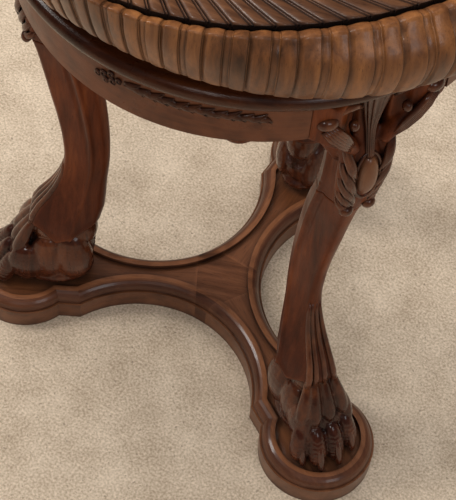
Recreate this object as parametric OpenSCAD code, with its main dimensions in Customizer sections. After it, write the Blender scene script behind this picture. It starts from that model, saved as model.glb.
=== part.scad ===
// Revolving piano stool: a round scallop shell seat on an iron screw, carried by a round frame,
// three carved legs with lion's paws and a three-cornered platform.
// The origin lies on the floor, on the axis of the screw. Legs stand at 90, 210 and 330 degrees.

/* [Platform] */
// How far the middles of the round corners stand out beyond the knees
corner_out = 3.5; // [-4:0.5:12]
// Radius of the round corners
corner_r = 41; // [38:1:46]
// Height of the platform
platform_t = 25; // [22:1:32]
// Height of the quarter-round moulding at the top edge
moulding_h = 9; // [6:1:11]
// Width of the quarter-round moulding
moulding_w = 7.5; // [5:0.5:9]
// Small ledge under the moulding
moulding_ledge = 1.5; // [1:0.5:2]
// Flat crest inside the moulding
crest_w = 1.5; // [1:0.5:3]
// Depth of the sunk panel
panel_drop = 4; // [2:0.5:6]
// Distance from the axis to the middle of a hollow side
waist = 29.5; // [28:0.5:34]
// Radius of the hollow sides
hollow_r = 82.5; // [78:0.5:84]
// Width of the square shoulders beside the corners
shoulder_w = 60; // [56:1:66]
// Distance from the axis to the joints of the centre block
core_r = 19; // [17:1:22]
// Radius of the dowels that join the arms to the centre block
base_dowel_r = 5; // [3:0.5:5.5]
// Length of those dowels
base_dowel_len = 30; // [20:2:36]

/* [Legs] */
// Height at which a leg meets its knee block
knee_z = 281; // [270:1:295]
// How far the shin stands back from the front of the knee
leg_swing = 28; // [25:0.5:31]
// Width of the shin from front to back
shin_depth = 31; // [28:1:36]
// Width of the shin from side to side
shin_width = 20; // [16:1:24]
// Width of the paw over its toes
paw_width = 50; // [44:1:54]
// Height of the knuckles above the panel
knuckle_h = 42; // [38:1:46]
// Radius of the round tenon under the paw
tenon_r = 12; // [9:1:14]
// Length of that tenon
tenon_len = 15; // [10:1:16]
// Radius of the dowel between a leg and its knee block
knee_dowel_r = 5; // [3:0.5:6]
// Length of that dowel
knee_dowel_len = 30; // [20:2:40]
// Radius of the screws that draw the legs down
leg_screw_r = 3; // [2:0.5:4]
// Length of those screws
leg_screw_len = 45; // [35:1:55]

/* [Knees] */
// How far the knees stand out beyond the rails
knee_proud = 0.5; // [0:0.1:1]
// Depth of a knee block from front to back
knee_depth = 40.5; // [37:0.5:44]
// Width of the knee block from side to side
knee_width = 28; // [24:1:34]
// Half the angle that the ears of a knee block take
ear_angle = 17.5; // [15:0.5:20]
// Length of the oval boss on the knee
boss_len = 25; // [20:1:30]
// Width of the oval boss
boss_w = 14; // [10:1:17]

/* [Frame] */
// Height of the underside of the round frame
frame_z = 403; // [395:1:412]
// Outer radius of the round frame
frame_r = 152; // [150:1:158]
// Thickness of the frame at its beaded edge
bead_t = 12; // [10:1:16]
// Rise of the top of the frame from its bead to its middle
frame_rise = 4; // [2:0.5:6]
// Height of the curved rails
rail_h = 30; // [26:1:36]
// How far the round frame reaches beyond the rails
frame_lip = 8; // [6:0.5:10]
// Thickness of the curved rails
rail_t = 16; // [14:1:20]
// Drop of a rail's lower edge at its middle
rail_drop = 4; // [2:0.5:7]
// Radius of the dowels between rails and knee blocks
rail_dowel_r = 3.5; // [2.5:0.5:4.5]
// Length of those dowels
rail_dowel_len = 24; // [16:2:30]
// Width of a corner block
block_w = 44; // [30:1:50]
// Depth of a corner block
block_depth = 22; // [18:1:26]
// Height of a corner block
block_h = 24; // [18:1:28]
// Radius of the wood screws in the frame
wood_screw_r = 2.2; // [1.6:0.2:2.6]
// Reach of those screws into the frame
wood_screw_bite = 11; // [8:1:13]

/* [Pendant] */
// Height of the lowest point of the turned pendant
pendant_z = 196; // [190:1:204]
// Radius of the ball at the end of the pendant
ball_r = 17; // [15:1:20]
// Radius of the pendant's flange
pendant_flange_r = 50; // [46:1:56]
// Thickness of that flange
pendant_flange_t = 7; // [5:1:9]
// Radius of the pendant's shaft
pendant_r = 29; // [26:1:34]
// Radius of the pendant's bore
pendant_bore_r = 17.5; // [17:0.5:19]

/* [Screw] */
// Outer radius of the screw thread
thread_r = 11; // [9:0.5:12]
// Depth of the thread
thread_depth = 1.5; // [1:0.1:1.8]
// Rise of the seat for one turn
turn_rise = 6; // [5:0.5:7]
// Turns from rest down to the stop
turns_down = 3; // [2:1:4]
// Turns from rest up to the stop
turns_up = 12; // [8:1:13]
// Radial clearance of the screw in its nut
screw_fit = 0.05; // [0.02:0.01:0.1]
// Radius of the nut's flange
nut_flange_r = 34; // [32:1:40]
// Thickness of that flange
nut_flange_t = 4; // [3:0.5:6]
// Radius of the nut's barrel
nut_r = 16; // [15:0.5:16.5]
// Length of the nut under its flange
nut_len = 33; // [28:1:38]
// Radius of the leather washer
washer_r = 20; // [17:0.5:21]
// Thickness of the leather washer
washer_t = 3; // [2:0.5:4]
// Radius of the stop collar
collar_r = 15; // [14:0.5:16]
// Height of the stop collar
collar_h = 8; // [6:1:12]
// Radius of the pin through the stop collar
stop_pin_r = 2; // [1.5:0.25:2.5]

/* [Seat] */
// Greatest radius of the seat
seat_r = 188.5; // [184:0.5:192]
// Height of the seat's fluted wall above its board's underside
wall_h = 43.5; // [40:0.5:48]
// Drop of the lip near the hinge of the shell
lip_drop = 13; // [6:1:15]
// Reach of the wall below the board's underside
apron_h = 9; // [6:1:12]
// Thickness of the fluted wall where it is thickest
wall_t = 22.5; // [21:0.5:24]
// Thickness of the seat board
board_t = 12; // [10:1:15]
// Pairs of flutes round the seat
flute_pairs = 43; // [36:1:50]
// Depth of the wide flutes
flute_depth = 1.8; // [1:0.1:2.4]
// Depth of the hollow of the seat
dish = 9; // [4:1:12]
// Distance from the axis to the hinge of the shell
hinge_r = 102; // [90:1:115]
// Direction of the hinge of the shell
hinge_angle = -110; // [-180:1:180]
// Rise of the shell at its hinge
hinge_rise = 6; // [3:1:9]
// Thickness of the iron seat plate
plate_t = 6; // [5:0.5:8]
// Length of an arm of the seat plate
plate_arm = 95; // [80:1:120]
// Width of an arm of the seat plate
plate_w = 26; // [22:1:32]

/* [Hidden] */

back_angle = 90;
left_angle = 210;
right_angle = 330;
leg_angles = [back_angle, left_angle, right_angle];
third_angle = 120;
half_angle = 180;
over = 1;
glue_fit = 0.1;
seat_fit = 0.3;
rest_gap = 0.3;
hole_fit = 0.1;

// Distances from the axis out
rail_r = frame_r - frame_lip;
knee_front = rail_r + knee_proud;
knee_back = knee_front - knee_depth;
shin_front = knee_front - leg_swing;
corner_reach = knee_front + corner_out;
well_r = seat_r - wall_t;

// Heights from the floor up
moulding_z = platform_t - moulding_h;
panel_z = platform_t - panel_drop;
rail_z = frame_z - rail_h;
bead_z = frame_z + bead_t;
frame_top = bead_z + frame_rise;
flange_top = frame_top + nut_flange_t;
washer_z = flange_top + rest_gap;
plate_z = washer_z + washer_t + rest_gap + turns_down * turn_rise;
seat_z = plate_z + plate_t;
board_top = seat_z + board_t;
lip_z = seat_z + wall_h;
nut_bottom = frame_top - nut_len;
collar_z = nut_bottom - rest_gap - turns_up * turn_rise - collar_h;
screw_tail = 5;
spindle_bottom = collar_z - screw_tail;
bore_spare = 8;
bore_z = spindle_bottom - turns_down * turn_rise - bore_spare;

// Platform
hollow_reach = hollow_r + waist;
panel_inset = moulding_ledge + moulding_w + crest_w;
arc_steps = 6;
foot_reach = corner_reach * 0.925;

// Outline of the moulded edge: how far it stands in from the side, and its height.
// The straight shoulders are cut a hair lower, so that their mitres have clean corners.
shoulder_drop = 0.3;
function edge_points(steps = arc_steps, drop = 0) = concat(
  [[0, 0], [0, moulding_z - drop]],
  [for (i = [0:steps])
    let (a = 90 * i / steps)
    [moulding_ledge + moulding_w * (1 - cos(a)), moulding_z - drop + (moulding_h + drop) * sin(a)]]
);

module corner_disc() {
  rotate_extrude($fn = 96)
    polygon(concat([for (p = edge_points()) [corner_r - p[0], p[1]]], [[0, platform_t], [0, 0]]));
}

module arm_bar() {
  right = [for (p = edge_points(arc_steps - 1, shoulder_drop)) [shoulder_w / 2 - p[0], p[1]]];
  left = [for (i = [len(right) - 1:-1:0]) [-right[i][0], right[i][1]]];
  translate([-hollow_reach / 2, 0, 0])
    rotate([90, 0, 90])
      linear_extrude(corner_reach + hollow_reach / 2)
        polygon(concat(right, left));
}

module hollow_side() {
  flare = [for (p = edge_points()) [hollow_r + p[0], p[1]]];
  rim = flare[len(flare) - 1][0];
  rotate_extrude($fn = 144)
    polygon(concat([[0, -over], [hollow_r, -over]], flare, [[rim, platform_t + over], [0, platform_t + over]]));
}

module hollow_sides() {
  for (a = [-third_angle / 2, third_angle / 2, half_angle])
    rotate(a)
      translate([hollow_reach, 0, 0])
        hollow_side();
}

module panel_recess() {
  translate([0, 0, panel_z])
    linear_extrude(platform_t)
      difference() {
        union() {
          translate([corner_reach, 0])
            circle(corner_r - panel_inset, $fn = 96);
          translate([-hollow_reach / 2, -shoulder_w / 2 + panel_inset])
            square([corner_reach + hollow_reach / 2, shoulder_w - 2 * panel_inset]);
        }
        for (a = [-third_angle / 2, third_angle / 2, half_angle])
          rotate(a)
            translate([hollow_reach, 0])
              circle(hollow_r + panel_inset, $fn = 144);
      }
}

module base_dowel(fit) {
  translate([core_r - base_dowel_len / 2 + (1 - sign(fit)) * glue_fit, 0, moulding_z / 2])
    rotate([0, 90, 0])
      cylinder(r = base_dowel_r + fit, h = base_dowel_len - (1 - sign(fit)) * 2 * glue_fit, $fn = 32);
}

module base_arm(angle) {
  rotate(angle)
    color("saddlebrown")
      difference() {
        union() {
          arm_bar();
          translate([corner_reach, 0, 0])
            corner_disc();
        }
        hollow_sides();
        panel_recess();
        translate([core_r - corner_reach * 2, -corner_reach, -over])
          cube([corner_reach * 2, corner_reach * 2, platform_t + 2 * over]);
        base_dowel(glue_fit);
        translate([foot_reach, 0, panel_z - tenon_len - glue_fit])
          cylinder(r = tenon_r + glue_fit, h = platform_t, $fn = 48);
        leg_screw_hole();
      }
}

module base_core() {
  sides = [for (a = leg_angles) 2 * core_r * [cos(a + third_angle / 2), sin(a + third_angle / 2)]];
  color("sienna")
    difference() {
      linear_extrude(platform_t)
        polygon(sides);
      rotate(back_angle)
        hollow_sides();
      translate([0, 0, panel_z])
        linear_extrude(platform_t)
          difference() {
            polygon(2 * sides);
            for (a = leg_angles)
              rotate(a + third_angle / 2)
                translate([hollow_reach, 0])
                  circle(hollow_r + panel_inset, $fn = 144);
          }
      for (a = leg_angles)
        rotate(a)
          base_dowel(glue_fit);
    }
}

module base_dowels() {
  color("burlywood")
    for (a = leg_angles)
      rotate(a)
        base_dowel(0);
}

// Screws with a sunk head, standing on their heads
module sunk_screw(r, length, head) {
  cylinder(r1 = r * head, r2 = r, h = r * (head - 1), $fn = 32);
  cylinder(r = r, h = length, $fn = 32);
}

head_share = 2;
screw_head_z = 1;

module leg_screw_hole() {
  translate([foot_reach, 0, 0]) {
    translate([0, 0, -over])
      cylinder(r = leg_screw_r * head_share + hole_fit, h = over + screw_head_z, $fn = 32);
    translate([0, 0, screw_head_z])
      cylinder(r1 = leg_screw_r * head_share + hole_fit, r2 = leg_screw_r + hole_fit, h = leg_screw_r, $fn = 32);
    cylinder(r = leg_screw_r + hole_fit, h = leg_screw_len + screw_head_z + over, $fn = 32);
  }
}

module leg_screws() {
  color("dimgray")
    for (a = leg_angles)
      rotate(a)
        translate([foot_reach, 0, screw_head_z])
          sunk_screw(leg_screw_r, leg_screw_len, head_share);
}

// Legs: sections stacked from the top of the paw to the knee, each with a front, a back and a width
leg_rise = knee_z - panel_z;
leg_height_share = [0.10, 0.20, 0.27, 0.32, 0.37, 0.42, 0.48, 0.56, 0.65, 0.74, 0.83, 0.92, 1.00];
leg_front_share = [0.86, 0.84, 0.77, 0.64, 0.40, 0.17, 0.03, 0.00, 0.06, 0.16, 0.28, 0.46, 0.73];
leg_back_share = [0.42, 0.34, 0.22, 0.13, 0.08, 0.05, 0.02, 0.00, 0.01, 0.06, 0.14, 0.24, 0.40];
leg_width_share = [2.05, 2.00, 1.85, 1.62, 1.38, 1.18, 1.04, 0.98, 0.98, 1.04, 1.12, 1.22, 1.30];
section_points = 16;
section_power = 0.75;

function section_ring(front, back, width, z) = [
  for (i = [0:section_points - 1])
    let (a = 360 * i / section_points, c = cos(a), s = sin(a))
    [(front + back) / 2 + (front - back) / 2 * sign(c) * pow(abs(c), section_power),
     width / 2 * sign(s) * pow(abs(s), section_power), z]
];

function stack_faces(rings, n) = concat(
  [[for (i = [0:n - 1]) i]],
  [[for (i = [n - 1:-1:0]) (rings - 1) * n + i]],
  [for (k = [0:rings - 2], i = [0:n - 1])
    [k * n + i, (k + 1) * n + i, (k + 1) * n + (i + 1) % n, k * n + (i + 1) % n]]
);

module section_stack(fronts, backs, widths, heights) {
  rings = [for (i = [0:len(heights) - 1]) section_ring(fronts[i], backs[i], widths[i], heights[i])];
  polyhedron([for (r = rings) for (p = r) p], stack_faces(len(heights), section_points), convexity = 6);
}

// Toes: each has a long upper lobe, a notch and a rounded lower lobe that ends at the claw
toe_step = paw_width / 4;
paw_front = corner_reach + corner_r - panel_inset - moulding_ledge - over;
toe_side_share = [-1.76, -0.92, 0.16, 1.24];
toe_reach_share = [0.70, 1.00, 1.00, 0.84];
toe_place_share = [0.00, 0.26, 0.47, 0.72, 1.00];
toe_height_share = [1.50, 1.17, 0.88, 0.55, 0.18];
toe_radius_share = [0.42, 0.48, 0.34, 0.56, 0.44];
toe_spread_share = [0.50, 0.62, 0.78, 0.90, 1.00];
ankle_reach = shin_front + leg_swing * 0.8;

module toe_ball(side, reach, i) {
  r = toe_step * toe_radius_share[i];
  span = paw_front - toe_step * 0.7 - ankle_reach;
  place = toe_place_share[i];
  translate([
    ankle_reach + span * place * (1 - (1 - reach) * place),
    side * toe_step * toe_spread_share[i],
    panel_z + max(r, knuckle_h * toe_height_share[i])
  ])
    sphere(r, $fn = 8);
}

module toe(side, reach) {
  for (i = [0:len(toe_place_share) - 2])
    hull() {
      toe_ball(side, reach, i);
      toe_ball(side, reach, i + 1);
    }
}

// The sole, and on each side of the foot two rounded masses: the ball of the foot and the heel
mass_r = paw_width * 0.18;
mass_side_share = [1.60, 1.60, 1.35, 1.35];
mass_place_share = [0.00, 0.28, -0.78, -0.70];
mass_height_share = [1.05, 0.62, 1.00, 0.70];

module paw_mass(side, i) {
  translate([
    foot_reach + foot_reach * mass_place_share[i] * 0.27,
    side * mass_r * mass_side_share[i],
    panel_z + knuckle_h * mass_height_share[i]
  ])
    sphere(mass_r, $fn = 10);
}

module paw_pad() {
  r = paw_width / 4;
  heel = shin_front - shin_depth / 2;
  hull()
    for (x = [heel + r / 2, foot_reach], y = [-r, r])
      translate([x, y, panel_z + r])
        sphere(r, $fn = 12);
  hull()
    for (y = [-r, r])
      translate([foot_reach + r, y, panel_z + r / 2])
        sphere(r * 0.9, $fn = 10);
  for (side = [-1, 1], i = [0, 2])
    hull() {
      paw_mass(side, i);
      paw_mass(side, i + 1);
    }
}

module leg(angle) {
  rotate(angle)
    color("sienna")
      difference() {
        union() {
          section_stack(
            [for (s = leg_front_share) shin_front + leg_swing * s],
            [for (s = leg_back_share) shin_front - shin_depth + leg_swing * s],
            [for (s = leg_width_share) shin_width * s],
            [for (s = leg_height_share) panel_z + leg_rise * s]
          );
          for (i = [0:len(toe_side_share) - 1])
            toe(toe_side_share[i], toe_reach_share[i]);
          paw_pad();
          translate([foot_reach, 0, panel_z - tenon_len])
            cylinder(r = tenon_r, h = tenon_len + knuckle_h / 2, $fn = 32);
        }
        leg_screw_hole();
        knee_dowel(glue_fit);
        translate([foot_reach, 0, panel_z - platform_t])
          difference() {
            cylinder(r = corner_reach / 2, h = platform_t, $fn = 32);
            cylinder(r = tenon_r, h = platform_t, $fn = 32);
          }
      }
}

module knee_dowel(fit) {
  translate([(shin_front + knee_back) / 2 + leg_swing / 4, 0, knee_z - knee_dowel_len / 2 + (1 - sign(fit)) * glue_fit])
    cylinder(r = knee_dowel_r + fit, h = knee_dowel_len - (1 - sign(fit)) * 2 * glue_fit, $fn = 24);
}

module knee_dowels() {
  color("burlywood")
    for (a = leg_angles)
      rotate(a)
        knee_dowel(0);
}

// Knee blocks: sections stacked from the leg up to the frame, with ears that meet the rails
knee_rise = frame_z - knee_z;
knee_height_share = [0.00, 0.10, 0.20, 0.31, 0.42, 0.54, 0.66, 0.80, 1.00];
knee_front_share = [0.73, 0.89, 0.98, 1.00, 0.96, 0.82, 0.66, 0.55, 0.52];
knee_back_share = [0.40, 0.44, 0.49, 0.55, 0.62, 0.72, 0.84, 1.00, 1.00];
knee_width_share = [0.93, 0.97, 1.00, 1.00, 0.97, 0.97, 1.08, 1.24, 1.30];
ear_len = rail_r * sin(ear_angle);
ear_side_share = [1.00, 1.00, 0.80, 0.60, 0.44, 0.32, 0.25, 0.25];
ear_height_share = [1.00, 0.00, -0.13, -0.33, -0.57, -0.93, -1.20, 1.00];

module knee_ears() {
  side = [for (i = [0:len(ear_side_share) - 1])
    [ear_len * ear_side_share[i], rail_z + rail_h * ear_height_share[i]]];
  intersection() {
    translate([rail_r - rail_t - ear_len, 0, 0])
      rotate([90, 0, 90])
        linear_extrude(rail_t + 2 * ear_len)
          for (m = [0, 1])
            mirror([m, 0])
              polygon(side);
    difference() {
      cylinder(r = rail_r, h = frame_z, $fn = 120);
      translate([0, 0, -over])
        cylinder(r = rail_r - rail_t, h = frame_z + 2 * over, $fn = 120);
    }
    linear_extrude(frame_z)
      polygon([
        [0, 0],
        [2 * rail_r * cos(ear_angle), -2 * rail_r * sin(ear_angle)],
        [2 * rail_r * cos(ear_angle), 2 * rail_r * sin(ear_angle)]
      ]);
  }
}

// Carving: a tapering central stalk, an oval boss, two scrolled leaves and lobes that climb down
scroll_side_share = [1.00, 1.75, 2.35];
scroll_height_share = [0.59, 0.70, 0.82];
scroll_radius_share = [0.09, 0.12, 0.17];
scroll_lift_share = [0.16, 0.30, 0.38];
lobe_side_share = [1.10, 1.08, 1.00, 0.70];
lobe_height_share = [0.52, 0.36, 0.20, 0.04];

function knee_face(height) = shin_front + leg_swing * lookup(height, [
  for (i = [0:len(knee_height_share) - 1]) [knee_height_share[i], knee_front_share[i]]
]);

module carved_ball(side, height, r, lift) {
  translate([knee_face(height) - r + lift, side * knee_width / 2, knee_z + knee_rise * height])
    sphere(r, $fn = 8);
}

module scroll_ball(side, i) {
  carved_ball(side * scroll_side_share[i], scroll_height_share[i],
    knee_width * scroll_radius_share[i], knee_width * scroll_lift_share[i]);
}

module knee_carving() {
  bud = knee_width / 8;
  hull() {
    carved_ball(0, 0.90, bud * 1.5, bud);
    carved_ball(0, 0.46, bud * 0.8, bud / 2);
  }
  for (side = [-1, 1]) {
    for (i = [0:1])
      hull() {
        scroll_ball(side, i);
        scroll_ball(side, i + 1);
      }
    for (i = [0:len(lobe_side_share) - 2])
      hull() {
        carved_ball(side * lobe_side_share[i], lobe_height_share[i], bud, 0);
        carved_ball(side * lobe_side_share[i + 1], lobe_height_share[i + 1], bud * 0.8, 0);
      }
  }
  hull()
    for (d = [-1, 1])
      translate([knee_face(0.34) - bud / 2, 0, knee_z + knee_rise * 0.32 + d * (boss_len - boss_w) / 2])
        sphere(boss_w / 2, $fn = 14);
}

module knee_block(angle) {
  rotate(angle)
    color("brown")
      difference() {
        union() {
          section_stack(
            [for (s = knee_front_share) shin_front + leg_swing * s],
            [for (s = knee_back_share) lookup(s, [[0.40, shin_front - shin_depth + leg_swing * 0.40], [1, knee_back]])],
            [for (s = knee_width_share) knee_width * s],
            [for (s = knee_height_share) knee_z + knee_rise * s]
          );
          knee_ears();
          knee_carving();
        }
        knee_dowel(glue_fit);
        ear_dowels(glue_fit);
        translate([knee_back - knee_front, -ear_len, rail_z])
          cube([knee_front, 2 * ear_len, rail_h + over]);
        translate([0, -corner_reach, knee_z - platform_t])
          cube([2 * corner_reach, 2 * corner_reach, platform_t]);
      }
}

// Round frame, rails, corner blocks and their dowels and screws
module rail_dowel(fit) {
  for (z = [rail_z + rail_h * 0.3, rail_z + rail_h * 0.7])
    translate([rail_r - rail_t / 2, -rail_dowel_len / 2 + (1 - sign(fit)) * glue_fit, z])
      rotate([-90, 0, 0])
        cylinder(r = rail_dowel_r + fit, h = rail_dowel_len - (1 - sign(fit)) * 2 * glue_fit, $fn = 24);
}

module ear_dowels(fit) {
  for (side = [-1, 1])
    rotate(side * ear_angle)
      rail_dowel(fit);
}

module rail_dowels() {
  color("burlywood")
    for (a = leg_angles)
      rotate(a)
        ear_dowels(0);
}

module rail(angle) {
  half = third_angle / 2 - ear_angle;
  side = 2 * rail_r;
  bottom = [for (i = [-arc_steps:arc_steps])
    let (s = i / arc_steps)
    [rail_r * sin(half) * s, rail_z - rail_drop * (1 - s * s)]];
  rotate(angle)
    color("peru")
      difference() {
        intersection() {
          difference() {
            cylinder(r = rail_r, h = frame_z, $fn = 144);
            translate([0, 0, -over])
              cylinder(r = rail_r - rail_t, h = frame_z + 2 * over, $fn = 144);
          }
          linear_extrude(frame_z)
            polygon([[0, 0], [side * cos(half), -side * sin(half)], [side * cos(half), side * sin(half)]]);
          rotate([90, 0, 90])
            linear_extrude(side)
              polygon(concat(bottom, [[rail_r, rail_z], [rail_r, frame_z], [-rail_r, frame_z], [-rail_r, rail_z]]));
        }
        for (s = [-1, 1])
          rotate(s * half)
            rail_dowel(glue_fit);
      }
}

module block_screw_places() {
  for (y = [-block_w / 4, block_w / 4])
    translate([knee_back - block_depth / 2, y, frame_z - block_h])
      children();
}

module corner_block(angle) {
  rotate(angle)
    color("tan")
      difference() {
        translate([knee_back - block_depth, -block_w / 2, frame_z - block_h])
          cube([block_depth, block_w, block_h]);
        block_screw_places()
          screw_hole(wood_screw_r, block_h);
      }
}

module screw_hole(r, length) {
  translate([0, 0, -over])
    cylinder(r = r + hole_fit, h = length + 2 * over, $fn = 32);
  cylinder(r1 = r * head_share + hole_fit, r2 = r + hole_fit, h = r * (head_share - 1), $fn = 32);
}

module corner_block_screws() {
  color("dimgray")
    for (a = leg_angles)
      rotate(a)
        block_screw_places()
          sunk_screw(wood_screw_r, block_h + wood_screw_bite, head_share);
}

module nut_screw_places() {
  for (a = leg_angles)
    rotate(a)
      translate([(nut_flange_r + washer_r) / 2, 0, flange_top])
        mirror([0, 0, 1])
          children();
}

module pendant_screw_places() {
  for (a = leg_angles)
    rotate(a + third_angle / 2)
      translate([(pendant_flange_r + pendant_r) / 2 + wood_screw_r, 0, frame_z - pendant_flange_t])
        children();
}

// Beaded edge below, then a hollow slope up to the flat middle
module top_frame() {
  bead_r = bead_t / 2;
  slope_in = frame_r - 3 * bead_t;
  edge = frame_r - bead_r;
  slope = edge - bead_r / 2 - slope_in;
  bead = [for (i = [-2 * arc_steps:2 * arc_steps])
    let (a = 45 * i / arc_steps)
    [edge + bead_r * cos(a), frame_z + bead_r + bead_r * sin(a)]];
  cove = [for (i = [0:arc_steps])
    let (a = 90 * i / arc_steps)
    [slope_in + slope * (1 - sin(a)), bead_z + frame_rise * (1 - cos(a))]];
  color("brown")
    difference() {
      rotate_extrude($fn = 180)
        polygon(concat([[0, frame_z]], bead, cove, [[0, frame_top]]));
      translate([0, 0, frame_z - over])
        cylinder(r = nut_r + hole_fit, h = bead_t + frame_rise + 2 * over, $fn = 48);
      for (a = leg_angles)
        rotate(a)
          block_screw_places()
            cylinder(r = wood_screw_r + hole_fit, h = block_h + wood_screw_bite + hole_fit, $fn = 24);
      nut_screw_places()
        cylinder(r = wood_screw_r + hole_fit, h = nut_flange_t + wood_screw_bite + hole_fit, $fn = 24);
      pendant_screw_places()
        cylinder(r = wood_screw_r + hole_fit, h = pendant_flange_t + wood_screw_bite + hole_fit, $fn = 24);
    }
}

// Turned pendant round the foot of the screw, written from the flange down to the ball
pendant_drop = bore_z - pendant_z - 2 * ball_r;
pendant_neck_share = 0.6;

module pendant() {
  neck = ball_r * pendant_neck_share;
  ball_z = pendant_z + ball_r;
  ball_top = 60;
  ball = [for (i = [0:2 * arc_steps])
    let (a = ball_top - (90 + ball_top) * i / (2 * arc_steps))
    [ball_r * cos(a), ball_z + ball_r * sin(a)]];
  shoulder = [for (i = [0:arc_steps])
    let (a = 90 * i / arc_steps)
    [neck + (pendant_r - neck) * cos(a), bore_z - (pendant_r - neck) * sin(a) * 0.6]];
  flange_low = frame_z - pendant_flange_t;
  cove_r = (pendant_flange_r - pendant_r) * 0.5;
  cove = [for (i = [0:arc_steps])
    let (a = 90 * i / arc_steps)
    [pendant_r + cove_r * (1 - sin(a)), flange_low - cove_r * (1 - cos(a))]];
  color("chocolate")
    difference() {
      rotate_extrude($fn = 96)
        polygon(concat(
          [[0, frame_z], [pendant_flange_r, frame_z], [pendant_flange_r, flange_low]],
          cove, shoulder, ball
        ));
      translate([0, 0, bore_z])
        cylinder(r = pendant_bore_r, h = frame_z, $fn = 64);
      pendant_screw_places()
        screw_hole(wood_screw_r, pendant_flange_t);
    }
}

module pendant_screws() {
  color("dimgray")
    pendant_screw_places()
      sunk_screw(wood_screw_r, pendant_flange_t + wood_screw_bite, head_share);
}

// Screw, nut and stops
module screw_nut() {
  color("gray")
    difference() {
      union() {
        translate([0, 0, frame_top])
          cylinder(r = nut_flange_r, h = nut_flange_t, $fn = 96);
        translate([0, 0, nut_bottom])
          cylinder(r = nut_r, h = nut_len + over, $fn = 64);
      }
      translate([0, 0, nut_bottom - over])
        cylinder(r = thread_r + screw_fit, h = nut_len + nut_flange_t + 2 * over, $fn = 64);
      nut_screw_places()
        screw_hole(wood_screw_r, nut_flange_t);
    }
}

module nut_screws() {
  color("dimgray")
    nut_screw_places()
      sunk_screw(wood_screw_r, nut_flange_t + wood_screw_bite, head_share);
}

module leather_washer() {
  color("saddlebrown")
    translate([0, 0, washer_z])
      difference() {
        cylinder(r = washer_r, h = washer_t, $fn = 64);
        translate([0, 0, -over])
          cylinder(r = thread_r + 2 * rest_gap, h = washer_t + 2 * over, $fn = 64);
      }
}

thread_steps = 16;
core_radius = thread_r - thread_depth;
thread_low = collar_z + collar_h + rest_gap;
thread_high = plate_z - rest_gap;
crest_share = 0.22;
root_share = 0.40;

// One ridge wound round the core; it fades out over half a turn at each end
module thread_ridge() {
  root = (core_radius + 0.02) / cos(half_angle / thread_steps);
  turns = (thread_high - thread_low) / turn_rise - 2 * root_share;
  last = floor(turns * thread_steps);
  fade = thread_steps / 2;
  points = [for (i = [0:last])
    let (
      a = 360 * i / thread_steps,
      z = thread_low + root_share * turn_rise + turn_rise * i / thread_steps,
      lift = min(1, i / fade, (last - i) / fade),
      crest = root + (thread_r - root) * max(0.1, lift)
    )
    for (p = [[root, -root_share], [crest, -crest_share], [crest, crest_share], [root, root_share]])
      [p[0] * cos(a), p[0] * sin(a), z + p[1] * turn_rise]];
  faces = concat(
    [[3, 2, 1, 0]],
    [[4 * last, 4 * last + 1, 4 * last + 2, 4 * last + 3]],
    [for (i = [0:last - 1], k = [0:3])
      [4 * i + k, 4 * i + (k + 1) % 4, 4 * i + 4 + (k + 1) % 4, 4 * i + 4 + k]]
  );
  polyhedron(points, faces, convexity = 20);
}

rivet_r = core_radius * 1.5;
rivet_h = plate_t * 0.7;

module spindle() {
  color("silver") {
    difference() {
      union() {
        translate([0, 0, spindle_bottom])
          cylinder(r = core_radius, h = seat_z - spindle_bottom + over, $fn = 64);
        translate([0, 0, seat_z])
          cylinder(r = rivet_r, h = rivet_h, $fn = 64);
      }
      stop_pin_hole();
    }
    thread_ridge();
  }
}

module stop_pin_hole() {
  translate([-2 * collar_r, 0, collar_z + collar_h / 2])
    rotate([0, 90, 0])
      cylinder(r = stop_pin_r + screw_fit, h = 4 * collar_r, $fn = 24);
}

module stop_collar() {
  color("dimgray")
    difference() {
      translate([0, 0, collar_z])
        cylinder(r = collar_r, h = collar_h, $fn = 64);
      translate([0, 0, collar_z - over])
        cylinder(r = core_radius + screw_fit, h = collar_h + 2 * over, $fn = 64);
      stop_pin_hole();
    }
}

module stop_pin() {
  color("silver")
    translate([-collar_r, 0, collar_z + collar_h / 2])
      rotate([0, 90, 0])
        cylinder(r = stop_pin_r, h = 2 * collar_r, $fn = 24);
}

// Seat
plate_arms = 4;
plate_hole_share = [0.5, 0.88];

module plate_screw_places() {
  for (i = [0:plate_arms - 1], s = plate_hole_share)
    rotate(i * 360 / plate_arms)
      translate([plate_arm * s, 0, plate_z])
        children();
}

module seat_plate() {
  boss = plate_w;
  color("dimgray")
    difference() {
      translate([0, 0, plate_z])
        linear_extrude(plate_t) {
          circle(boss, $fn = 96);
          for (i = [0:plate_arms - 1])
            rotate(i * 360 / plate_arms) {
              translate([0, -plate_w / 2])
                square([plate_arm, plate_w]);
              translate([plate_arm, 0])
                circle(plate_w / 2, $fn = 48);
            }
        }
      translate([0, 0, plate_z - over])
        cylinder(r = core_radius + screw_fit, h = plate_t + 2 * over, $fn = 64);
      plate_screw_places()
        screw_hole(wood_screw_r, plate_t);
    }
}

plate_screw_bite = board_t * 0.8;

module plate_screws() {
  color("gray")
    plate_screw_places()
      sunk_screw(wood_screw_r, plate_t + plate_screw_bite, head_share);
}

board_screw_count = 6;

module board_screw_places() {
  for (i = [0:board_screw_count - 1])
    rotate((i + 0.5) * 360 / board_screw_count)
      translate([(well_r + plate_arm) / 2, 0, seat_z])
        children();
}

module seat_board() {
  color("tan")
    difference() {
      translate([0, 0, seat_z])
        cylinder(r = well_r - seat_fit, h = board_t, $fn = 180);
      translate([0, 0, seat_z - over])
        cylinder(r = rivet_r + rest_gap, h = rivet_h + rest_gap + over, $fn = 64);
      plate_screw_places()
        cylinder(r = wood_screw_r + hole_fit, h = plate_t + plate_screw_bite + hole_fit, $fn = 24);
      board_screw_places()
        screw_hole(wood_screw_r, board_t);
    }
}

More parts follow.
